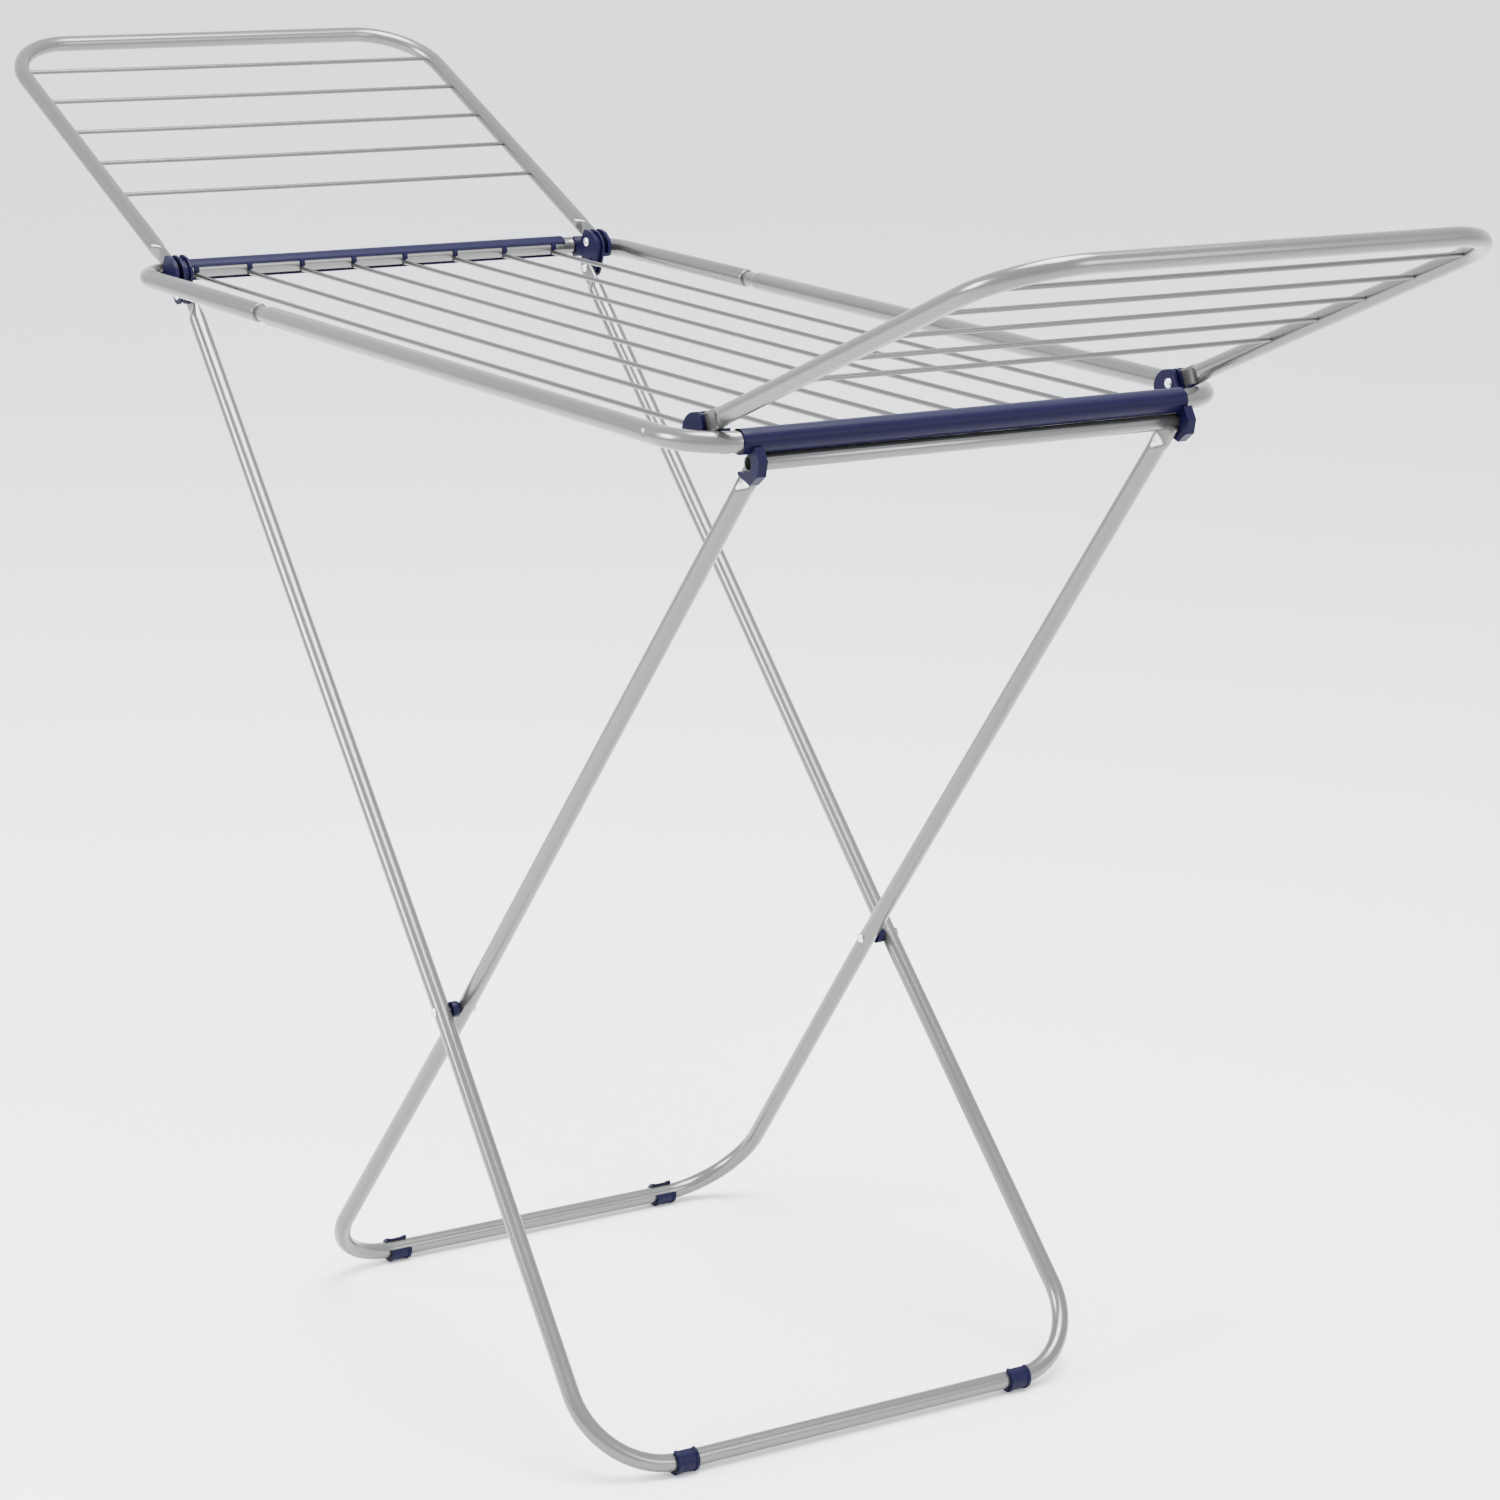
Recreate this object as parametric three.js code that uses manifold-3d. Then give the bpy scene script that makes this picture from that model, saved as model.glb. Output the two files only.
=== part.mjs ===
// Folding clothes drying rack with two wings, open and standing on the floor.
// Units are millimetres, +Z is up, the long side of the rack runs along X, the floor is z = 0.
import * as THREE from "three";
import { mergeVertices } from "three/addons/utils/BufferGeometryUtils.js";
import Module from "manifold-3d";

const wasm = await Module();
wasm.setup();

// ---------------------------------------------------------------- driving sizes
const CLEARANCE = 0.3; // gap left between neighbouring pieces

// central rack
const RACK_LENGTH = 1023; // between the centrelines of the two end bars
const RACK_WIDTH = 542; // between the centrelines of the two long rails
const RACK_HEIGHT = 941; // centreline of the rack tube above the floor
const RACK_TUBE_DIAMETER = 18;
const RACK_CORNER_RADIUS = 50;
const RAIL_JOINT_X = -236; // where the left frame tube ends on both rails
const RAIL_NECK_LENGTH = 22;
const RAIL_NECK_DIAMETER = 15;
const RACK_WIRE_COUNT = 8;
const RACK_WIRE_INSET = 65.9; // rail centreline to the first wire
const RACK_WIRE_DROP = 5; // wires enter the end bars this far under the tube centre
const WIRE_DIAMETER = 4.6;
const WIRE_POCKET_DEPTH = 4;

// covers snapped over the end bars
const COVER_NEAR_INSET = 41.5; // rail centreline to the near end of a cover
const COVER_FAR_INSET = 51.5; // and to its far end
const COVER_WALL = 1.4;
const COVER_LIP_ANGLE = -118; // lower edge, from level outboard
const COVER_TOP_ANGLE = 157; // inboard edge, over the top
const COVER_FINGER_ANGLE = 192; // tip of the finger above every wire
const COVER_FINGER_WIDTH = 5;

// outer and inner leg frames
const LEG_TUBE_DIAMETER = 16;
const LEG_BEND_RADIUS = 78;
const OUTER_FOOT_X = 390;
const INNER_FOOT_X = -178;
const OUTER_FOOT_INSET = 4.1; // rail centreline to leg centreline at the foot bar
const INNER_FOOT_INSET = 30.9;
const INNER_MID_INSET = 47.3; // the same at the middle pivot
const MID_SPACER_LENGTH = 8.6;
const SPACER_DIAMETER = 15;
const LEG_PIVOT_INBOARD = 38; // top pivot of the outer legs, inboard of the end bar
const LEG_PIVOT_DROP = 18; // and below the tube centre
const CROSSBAR_DIAMETER = 14; // top crossbar of the inner legs, under the right end bar
const CROSSBAR_END_INSET = 51.5; // rail centreline to the end of the crossbar

// wings
const WING_TUBE_DIAMETER = 16;
const WING_REACH = 442; // pivot to the centreline of the outer bar
const WING_INSET = 28; // rail centreline to the centreline of a wing side tube
const WING_ANGLE = 24; // degrees above level
const WING_BEND_RADIUS = 72;
const WING_PIVOT_INBOARD = 33.5;
const WING_REST_GAP = 3.9; // open wing tube clear of the rack tube
const WING_WIRE_COUNT = 5;
const WING_WIRE_PITCH = 61.5;
const WING_WIRE_INSET = 57; // outer bar centreline to the first wire

// flattened tube ends and rivets
const TAB_THICKNESS = 4;
const TAB_HALF_WIDTH = 9;
const TAB_TAPER = 16;
const WING_TAB_LENGTH = 24;
const LEG_TAB_LENGTH = 14;
const INNER_TAB_LENGTH = 17;
const INNER_TAB_HALF_WIDTH = 10.5;
const RIVET_DIAMETER = 5;
const RIVET_HEAD_DIAMETER = 9;
const RIVET_HEAD_HEIGHT = 2;

// moulded brackets and foot clips
const SADDLE_WALL = 2.7;
const LEFT_BRACKET_DEPTH = 10.4; // inner leaf of a left bracket, across the rack
const RIGHT_BRACKET_DEPTH = 7.7;
const BRACKET_FACE = 2.6; // thickness of each of the two faces of the inner leaf
const BRACKET_WEB_SHARE = 0.8; // size of the web between them
const BRACKET_OUTER_LEAF = 3.6;
const WING_PIN_SEAT = 2.5; // depth of the blind hole in the outer leaf
const CLEVIS_GAP = 0.8; // below the flattened end of the wing
const HOOK_THICKNESS = 9;
const HOOK_OVERHANG = 3; // hook past the end of the crossbar
const FOOT_CLIP_LENGTH = 22;
const FOOT_CLIP_WALL = 2.7;
const FOOT_CLIP_OFFSET = 7.4; // middle of the clip from the end of the corner bend

// ---------------------------------------------------------------- derived sizes
const rackR = RACK_TUBE_DIAMETER / 2;
const legR = LEG_TUBE_DIAMETER / 2;
const wingR = WING_TUBE_DIAMETER / 2;
const wireR = WIRE_DIAMETER / 2;
const crossR = CROSSBAR_DIAMETER / 2;
const endX = RACK_LENGTH / 2;
const railY = RACK_WIDTH / 2;
const clipR = legR + CLEARANCE + FOOT_CLIP_WALL;
const footZ = clipR;
const coverR = rackR + CLEARANCE + COVER_WALL;

const wireSpan = RACK_WIDTH - 2 * RACK_WIRE_INSET;
const coverNearY = railY - COVER_NEAR_INSET;
const coverFarY = railY - COVER_FAR_INSET;
const crossbarEndY = railY - CROSSBAR_END_INSET;
const crossbarDrop = coverR + crossR + CLEARANCE;
const saddleR = rackR + CLEARANCE + SADDLE_WALL;

const wingY = railY - WING_INSET;
const slotInnerY = wingY - TAB_THICKNESS / 2 - CLEARANCE;
const slotOuterY = wingY + TAB_THICKNESS / 2 + CLEARANCE;
const bracketOuterY = slotOuterY + BRACKET_OUTER_LEAF;
const bracketInnerY = (sign) => slotInnerY - (sign < 0 ? LEFT_BRACKET_DEPTH : RIGHT_BRACKET_DEPTH);
const legTabInnerY = bracketInnerY(-1) - CLEARANCE - TAB_THICKNESS;
const legTopY = legTabInnerY + TAB_THICKNESS / 2;

const legPivot = { x: -endX + LEG_PIVOT_INBOARD, z: RACK_HEIGHT - LEG_PIVOT_DROP };
const crossbar = { x: endX, z: RACK_HEIGHT - crossbarDrop };
const outerFoot = { x: OUTER_FOOT_X, z: footZ };
const innerFoot = { x: INNER_FOOT_X, z: footZ };
const midPivot = crossing(legPivot, outerFoot, crossbar, innerFoot);
const hookOuterY = crossbarEndY + HOOK_OVERHANG;
const innerTopY = hookOuterY - HOOK_THICKNESS - 0.5 - TAB_THICKNESS / 2;
const innerMidY = railY - INNER_MID_INSET;
const outerFootY = railY - OUTER_FOOT_INSET;
const innerFootY = railY - INNER_FOOT_INSET;
const outerMidY = innerMidY + LEG_TUBE_DIAMETER + MID_SPACER_LENGTH;
const wingPivotX = endX - WING_PIVOT_INBOARD;
const wingTilt = THREE.MathUtils.degToRad(WING_ANGLE);
// an open wing passes just above the end bar
const wingRest = rackR + wingR + WING_REST_GAP;
const wingPivotRise = (wingRest - WING_PIVOT_INBOARD * Math.sin(wingTilt)) / Math.cos(wingTilt);
const wingPivotZ = RACK_HEIGHT + wingPivotRise;
const rivetHoleR = RIVET_DIAMETER / 2 + CLEARANCE;

// ---------------------------------------------------------------- finishes
const finish = (color, roughness, metalness) => () =>
  new THREE.MeshStandardMaterial({ color, roughness, metalness });
const silver = finish(0xb9bab8, 0.38, 0.85);
const navy = finish(0x24255a, 0.45, 0.0);
const bright = finish(0xd4d5d8, 0.25, 1.0);

// ---------------------------------------------------------------- helpers
// Point where the line a-b crosses the line c-d, in the XZ plane.
function crossing(a, b, c, d) {
  const den = (a.x - b.x) * (c.z - d.z) - (a.z - b.z) * (c.x - d.x);
  const p = a.x * b.z - a.z * b.x;
  const q = c.x * d.z - c.z * d.x;
  return {
    x: (p * (c.x - d.x) - (a.x - b.x) * q) / den,
    z: (p * (c.z - d.z) - (a.z - b.z) * q) / den,
  };
}

function toSolid(geometry) {
  const bare = geometry.clone();
  bare.deleteAttribute("normal");
  bare.deleteAttribute("uv");
  const welded = mergeVertices(bare, 1e-4);
  const mesh = new wasm.Mesh({
    numProp: 3,
    vertProperties: new Float32Array(welded.attributes.position.array),
    triVerts: new Uint32Array(welded.index.array),
  });
  return new wasm.Manifold(mesh);
}

function toGeometry(solid) {
  const mesh = solid.getMesh();
  const geometry = new THREE.BufferGeometry();
  geometry.setAttribute("position", new THREE.BufferAttribute(mesh.vertProperties, 3));
  geometry.setIndex(new THREE.BufferAttribute(mesh.triVerts, 1));
  return geometry;
}

const join = (first, ...rest) => rest.reduce((sum, piece) => sum.add(piece), first);
const cut = (first, ...rest) => rest.reduce((sum, piece) => sum.subtract(piece), first);

// Plate with the outline [x, z] between two values of y.
function plate(outline, y0, y1) {
  const shape = new THREE.Shape(outline.map(([x, z]) => new THREE.Vector2(x, z)));
  const geometry = new THREE.ExtrudeGeometry(shape, { depth: y1 - y0, bevelEnabled: false });
  geometry.rotateX(Math.PI / 2);
  geometry.translate(0, y1, 0);
  return toSolid(geometry);
}

// Round bar along y between two values of y, around the point [x, z].
function pin(x, z, radius, y0, y1, sides = 16) {
  const geometry = new THREE.CylinderGeometry(radius, radius, y1 - y0, sides);
  geometry.translate(x, (y0 + y1) / 2, z);
  return toSolid(geometry);
}

// Outline of an arc band around [x, z], angles in degrees from +x towards +z.
function band(x, z, inner, outer, from, to, steps) {
  const points = [];
  for (let i = 0; i <= steps; i += 1) {
    const a = THREE.MathUtils.degToRad(from + ((to - from) * i) / steps);
    points.push([x + outer * Math.cos(a), z + outer * Math.sin(a)]);
  }
  for (let i = steps; i >= 0; i -= 1) {
    const a = THREE.MathUtils.degToRad(from + ((to - from) * i) / steps);
    points.push([x + inner * Math.cos(a), z + inner * Math.sin(a)]);
  }
  return points;
}

// Corner points of a path with every inner corner replaced by a tangent arc.
function bend(points, radius, steps = 8) {
  const path = [points[0]];
  for (let i = 1; i < points.length - 1; i += 1) {
    const before = points[i - 1].clone().sub(points[i]).normalize();
    const after = points[i + 1].clone().sub(points[i]).normalize();
    const half = before.angleTo(after) / 2;
    const r = Array.isArray(radius) ? radius[i - 1] : radius;
    if (r === 0) {
      path.push(points[i]);
      continue;
    }
    const bisector = before.clone().add(after).normalize();
    const centre = points[i].clone().addScaledVector(bisector, r / Math.sin(half));
    const start = points[i].clone().addScaledVector(before, r / Math.tan(half));
    const end = points[i].clone().addScaledVector(after, r / Math.tan(half));
    const from = start.clone().sub(centre);
    const to = end.clone().sub(centre);
    const sweep = from.angleTo(to);
    for (let k = 0; k <= steps; k += 1) {
      const t = k / steps;
      const a = Math.sin((1 - t) * sweep) / Math.sin(sweep);
      const b = Math.sin(t * sweep) / Math.sin(sweep);
      path.push(centre.clone().addScaledVector(from, a).addScaledVector(to, b));
    }
  }
  path.push(points[points.length - 1]);
  return path;
}

// Sweeps an oval along a flat path. Each station has half sizes across and within the plane.
function sweep(path, planeNormal, sizeAt, sides = 14) {
  const positions = [];
  const index = [];
  const stations = path.length;
  for (let i = 0; i < stations; i += 1) {
    const ahead = path[Math.min(i + 1, stations - 1)].clone().sub(path[i]).normalize();
    const behind = path[i].clone().sub(path[Math.max(i - 1, 0)]).normalize();
    const tangent = ahead.add(behind).normalize();
    const side = planeNormal.clone().cross(tangent).normalize();
    const [across, within] = sizeAt(i);
    for (let k = 0; k < sides; k += 1) {
      const a = ((k + 0.5) / sides) * Math.PI * 2;
      const point = path[i]
        .clone()
        .addScaledVector(planeNormal, across * Math.cos(a))
        .addScaledVector(side, within * Math.sin(a));
      positions.push(point.x, point.y, point.z);
    }
  }
  for (let i = 0; i < stations - 1; i += 1) {
    for (let k = 0; k < sides; k += 1) {
      const a = i * sides + k;
      const b = i * sides + ((k + 1) % sides);
      index.push(a, a + sides, b, b, a + sides, b + sides);
    }
  }
  const last = (stations - 1) * sides;
  for (let k = 1; k < sides - 1; k += 1) {
    index.push(0, k, k + 1);
    index.push(last, last + k + 1, last + k);
  }
  const geometry = new THREE.BufferGeometry();
  geometry.setAttribute("position", new THREE.Float32BufferAttribute(positions, 3));
  geometry.setIndex(index);
  return outward(geometry);
}

// Turns the faces of a closed body outward.
function outward(geometry) {
  const p = geometry.attributes.position;
  const index = geometry.index;
  const v = [0, 1, 2].map(() => new THREE.Vector3());
  let volume = 0;
  for (let i = 0; i < index.count; i += 3) {
    v.forEach((point, k) => point.fromBufferAttribute(p, index.getX(i + k)));
    volume += v[0].dot(v[1].clone().cross(v[2]));
  }
  if (volume < 0) {
    for (let i = 0; i < index.count; i += 3) {
      const a = index.getX(i);
      index.setX(i, index.getX(i + 1));
      index.setX(i + 1, a);
    }
  }
  return geometry;
}

// U-shaped tube whose two ends are pressed flat. The path starts and ends at the pivots.
// A round tip reaches one half width past the pivot; a square end stops at it.
function tabbedTube(path, planeNormal, radius, tabLength, halfWidth, roundTip) {
  const marks = [];
  const half = TAB_THICKNESS / 2;
  for (const deg of roundTip ? [-80, -55, -28] : []) {
    const a = THREE.MathUtils.degToRad(deg);
    marks.push([halfWidth * Math.sin(a), halfWidth * Math.cos(a), half]);
  }
  marks.push([0, halfWidth, half]);
  for (const t of [0, 0.33, 0.67, 1]) {
    const ease = t * t * (3 - 2 * t);
    const wide = THREE.MathUtils.lerp(halfWidth, radius, ease);
    const thin = THREE.MathUtils.lerp(half, radius, ease);
    marks.push([tabLength + TAB_TAPER * t, wide, thin]);
  }
  const last = path.length - 1;
  const startDir = path[1].clone().sub(path[0]).normalize();
  const endDir = path[last - 1].clone().sub(path[last]).normalize();
  const stations = [];
  const sizes = [];
  for (const [s, wide, thin] of marks) {
    stations.push(path[0].clone().addScaledVector(startDir, s));
    sizes.push([wide, thin]);
  }
  for (const point of path.slice(1, -1)) {
    stations.push(point);
    sizes.push([radius, radius]);
  }
  for (const [s, wide, thin] of marks.slice().reverse()) {
    stations.push(path[last].clone().addScaledVector(endDir, s));
    sizes.push([wide, thin]);
  }
  return toSolid(sweep(stations, planeNormal, (i) => sizes[i]));
}

const part = new THREE.Group();
part.name = "drying_rack";

function add(name, shape, material, parent = part) {
  const geometry = shape.isBufferGeometry ? shape : toGeometry(shape);
  geometry.computeVertexNormals();
  const mesh = new THREE.Mesh(geometry, material());
  mesh.name = name;
  parent.add(mesh);
  return mesh;
}

const V = (x, y, z) => new THREE.Vector3(x, y, z);
// A span of y measured outward from the middle, put on the near (-1) or far (+1) side.
const span = (side, inner, outer) => (side > 0 ? [inner, outer] : [-outer, -inner]);
const SIDES = [
  ["near", -1],
  ["far", 1],
];

// ---------------------------------------------------------------- rack frame
const up = V(0, 0, 1);
const wireZ = RACK_HEIGHT - RACK_WIRE_DROP;
const rackWireY = (i) => (i / (RACK_WIRE_COUNT - 1) - 0.5) * wireSpan;
const wireEndX = endX - Math.sqrt(rackR ** 2 - RACK_WIRE_DROP ** 2) + WIRE_POCKET_DEPTH;

function wirePockets(sign) {
  const depth = WIRE_POCKET_DEPTH + CLEARANCE + rackR;
  const tip = sign * (wireEndX + CLEARANCE);
  const pockets = [];
  for (let i = 0; i < RACK_WIRE_COUNT; i += 1) {
    const geometry = new THREE.CylinderGeometry(wireR + CLEARANCE, wireR + CLEARANCE, depth, 8);
    geometry.rotateZ(Math.PI / 2);
    geometry.translate(tip - (sign * depth) / 2, rackWireY(i), wireZ);
    pockets.push(toSolid(geometry));
  }
  return pockets;
}

function frameHalf(sign, railEndX, neck) {
  const stub = neck ? RAIL_NECK_LENGTH : 0;
  const corners = bend(
    [
      V(railEndX, -railY, RACK_HEIGHT),
      V(sign * endX, -railY, RACK_HEIGHT),
      V(sign * endX, railY, RACK_HEIGHT),
      V(railEndX, railY, RACK_HEIGHT),
    ],
    RACK_CORNER_RADIUS,
    6,
  );
  const stations = corners.slice();
  const sizes = stations.map(() => rackR);
  if (neck) {
    const r = RAIL_NECK_DIAMETER / 2;
    for (const [y, put] of [[-railY, "unshift"], [railY, "push"]]) {
      stations[put](V(railEndX - stub * 0.28, y, RACK_HEIGHT));
      sizes[put](r);
      stations[put](V(railEndX - stub, y, RACK_HEIGHT));
      sizes[put](r);
    }
  }
  const tube = toSolid(sweep(stations, up, (i) => [sizes[i], sizes[i]], 16));
  return cut(tube, ...wirePockets(sign));
}

add("rack_frame_left", frameHalf(-1, RAIL_JOINT_X, false), silver);
const neckEnd = RAIL_JOINT_X + CLEARANCE + RAIL_NECK_LENGTH;
add("rack_frame_right", frameHalf(1, neckEnd, true), silver);

for (let i = 0; i < RACK_WIRE_COUNT; i += 1) {
  const geometry = new THREE.CylinderGeometry(wireR, wireR, 2 * wireEndX, 8);
  const mesh = add(`rack_wire_${i + 1}`, geometry, silver);
  mesh.rotation.z = Math.PI / 2;
  mesh.position.set(0, rackWireY(i), wireZ);
}

// Corner of the frame tube at a larger radius, for pieces that sit against it.
function cornerTube(sign, side, radius = rackR + CLEARANCE) {
  const straight = RACK_CORNER_RADIUS + 1;
  const corner = [
    V(sign * (endX - straight), side * railY, RACK_HEIGHT),
    V(sign * endX, side * railY, RACK_HEIGHT),
    V(sign * endX, side * (railY - straight), RACK_HEIGHT),
  ];
  return toSolid(sweep(bend(corner, RACK_CORNER_RADIUS, 6), up, () => [radius, radius], 16));
}

// ---------------------------------------------------------------- end covers
function coverShell(sign) {
  const flip = (points) => points.map(([x, z]) => [sign * x, z]);
  const inner = rackR + CLEARANCE;
  const turn = [COVER_LIP_ANGLE, COVER_TOP_ANGLE];
  const wrap = flip(band(endX, RACK_HEIGHT, inner, coverR, ...turn, 16));
  let shell = plate(wrap, -coverNearY, coverFarY);
  for (let i = 0; i < RACK_WIRE_COUNT; i += 1) {
    const y = rackWireY(i);
    const reach = [COVER_TOP_ANGLE - 8, COVER_FINGER_ANGLE];
    const finger = flip(band(endX, RACK_HEIGHT, inner, coverR, ...reach, 3));
    const y0 = y - COVER_FINGER_WIDTH / 2;
    shell = shell.add(plate(finger, y0, y0 + COVER_FINGER_WIDTH));
  }
  return cut(shell, cornerTube(sign, -1), cornerTube(sign, 1));
}

add("end_cover_left", coverShell(-1), navy);

// The right cover carries two open hooks that hold the top crossbar of the inner legs.
function coverWithHooks() {
  let solid = coverShell(1);
  const { x, z } = crossbar;
  const seat = crossR + 0.5;
  const outline = [
    [x - 11.5, z - seat - 0.8],
    [x - 10.5, z - seat - 4],
    [x + 6.5, z - seat - 9.5],
    [x + 17, z - 8.5],
    [x + 19, z + 4],
    [x + 12, z + crossbarDrop - 3],
    [x + 2, z + crossbarDrop - 4],
    [x - 3, z - seat],
  ];
  for (const [, s] of SIDES) {
    const [y0, y1] = span(s, hookOuterY - HOOK_THICKNESS, hookOuterY);
    const block = plate(outline, y0, y1);
    const bar = pin(endX, RACK_HEIGHT, rackR + CLEARANCE, y0 - 1, y1 + 1, 28);
    const seatHole = pin(x, z, seat, y0 - 1, y1 + 1, 18);
    const mouth = [
      [x, z - seat],
      [x, z + seat],
      [x - 30, z + seat],
      [x - 30, z - seat - 0.6],
      [x - 8, z - seat - 0.6],
    ];
    solid = solid.add(cut(block, bar, seatHole, plate(mouth, y0 - 1, y1 + 1)));
  }
  return solid;
}

add("end_cover_right", coverWithHooks(), navy);

// ---------------------------------------------------------------- corner brackets
// A saddle behind the end bar carries a raised clevis for the wing. On the left its inner leaf
// also has a lower lobe, with the flattened top of the outer leg riveted against it.
function bracket(sign, side) {
  const flip = (points) => points.map(([x, z]) => [sign * x, z]);
  const px = wingPivotX;
  const pz = wingPivotZ;
  const inner = bracketInnerY(sign);
  const [y0, y1] = span(side, inner, slotInnerY);
  // two faces with a smaller web between them, drawn toward the point [cx, cz]
  const faced = (outline, cx, cz) => {
    const k = BRACKET_WEB_SHARE;
    const web = outline.map(([x, z]) => [cx + (x - cx) * k, cz + (z - cz) * k]);
    return join(
      plate(flip(outline), y0, y0 + BRACKET_FACE),
      plate(flip(outline), y1 - BRACKET_FACE, y1),
      plate(flip(web), y0 + 0.5, y1 - 0.5),
    );
  };
  const ear = [
    [px - 18, pz - 14],
    [px - 20.5, pz - 4],
    [px - 17, pz + 4.5],
    [px - 9.5, pz + 10.5],
    [px, pz + 12.5],
    [px + 5.5, pz + 12.4],
    [px + 11, pz + 1],
    [px + 15, pz - 5.5],
    [endX - 4, RACK_HEIGHT + 3],
    [endX - 4, RACK_HEIGHT - 3],
    [px + 18, pz - 14],
  ];
  const floor = pz - TAB_HALF_WIDTH - CLEVIS_GAP;
  const base = [
    [px - 18, pz - 14],
    [px - 19, floor],
    [px + 14, floor],
    [px + 18, pz - 14],
  ];
  const behind = [
    [endX - 30, RACK_HEIGHT - 14],
    [endX - 5, RACK_HEIGHT - 14],
    [endX - 5, RACK_HEIGHT + 11],
    [endX - 30, RACK_HEIGHT + 11],
  ];
  let solid = join(
    faced(ear, px, pz),
    cornerTube(sign, side, saddleR).intersect(plate(flip(behind), y0, y1)),
    plate(flip(base), ...span(side, slotInnerY - 0.5, slotOuterY + 0.5)),
    plate(flip(ear), ...span(side, slotOuterY, bracketOuterY)),
  );
  const seat = span(side, inner - 1, slotOuterY + WING_PIN_SEAT);
  const holes = [pin(sign * px, pz, rivetHoleR, ...seat, 10)];
  if (sign < 0) {
    const lx = -legPivot.x;
    const lz = legPivot.z;
    const lobe = [
      [px - 18, pz - 8],
      [lx - 10, lz],
      [lx - 7, lz - 7],
      [lx, lz - 10],
      [lx + 7, lz - 7],
      [lx + 10, lz],
      [px + 14, pz - 8],
    ];
    solid = solid.add(faced(lobe, px - 2, (pz + lz) / 2));
    holes.push(pin(-lx, lz, rivetHoleR, ...span(side, inner - 1, slotInnerY + 1), 10));
  }
  // the corner of the frame tube lies in the saddle
  return cut(solid, ...holes, cornerTube(sign, side));
}

for (const [end, sign] of [["left", -1], ["right", 1]]) {
  for (const [side, s] of SIDES) {
    add(`bracket_${end}_${side}`, bracket(sign, s), navy);
  }
}

// ---------------------------------------------------------------- rivets
// Shank along y with a low domed head at each end; y0 and y1 are the inner faces of the heads.
function rivet(x, z, y0, y1) {
  const r = RIVET_DIAMETER / 2;
  const head = RIVET_HEAD_DIAMETER / 2;
  const profile = [
    [0, -RIVET_HEAD_HEIGHT],
    [head * 0.62, -RIVET_HEAD_HEIGHT * 0.85],
    [head, -RIVET_HEAD_HEIGHT * 0.3],
    [head, 0],
    [r, 0],
    [r, y1 - y0],
    [head, y1 - y0],
    [head, y1 - y0 + RIVET_HEAD_HEIGHT * 0.3],
    [head * 0.62, y1 - y0 + RIVET_HEAD_HEIGHT * 0.85],
    [0, y1 - y0 + RIVET_HEAD_HEIGHT],
  ];
  const geometry = new THREE.LatheGeometry(profile.map(([a, b]) => new THREE.Vector2(a, b)), 10);
  geometry.translate(x, y0, z);
  return toSolid(geometry);
}

function sideRivet(name, x, z, inner, outer, side) {
  add(name, rivet(x, z, ...span(side, inner, outer)), bright);
}

// Wing rivet: its head lies against the inner leaf and its end sits in the outer leaf.
function wingRivet(x, z, side, inner, outer) {
  const r = RIVET_DIAMETER / 2;
  const head = RIVET_HEAD_DIAMETER / 2;
  const profile = [
    [0, -RIVET_HEAD_HEIGHT],
    [head * 0.62, -RIVET_HEAD_HEIGHT * 0.85],
    [head, -RIVET_HEAD_HEIGHT * 0.3],
    [head, 0],
    [r, 0],
    [r, outer - inner],
    [0, outer - inner],
  ];
  const geometry = new THREE.LatheGeometry(profile.map(([a, b]) => new THREE.Vector2(a, b)), 10);
  if (side < 0) geometry.rotateX(Math.PI);
  geometry.translate(x, side * inner, z);
  return toSolid(geometry);
}

for (const [end, sign] of [["left", -1], ["right", 1]]) {
  for (const [side, s] of SIDES) {
    const inner = bracketInnerY(sign) - CLEARANCE;
    const outer = slotOuterY + WING_PIN_SEAT - CLEARANCE;
    const shape = wingRivet(sign * wingPivotX, wingPivotZ, s, inner, outer);
    add(`wing_rivet_${end}_${side}`, shape, bright);
  }
}
for (const [side, s] of SIDES) {
  const inner = legTabInnerY - CLEARANCE;
  const outer = slotInnerY + CLEARANCE;
  sideRivet(`leg_rivet_${side}`, legPivot.x, legPivot.z, inner, outer, s);
}

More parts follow.
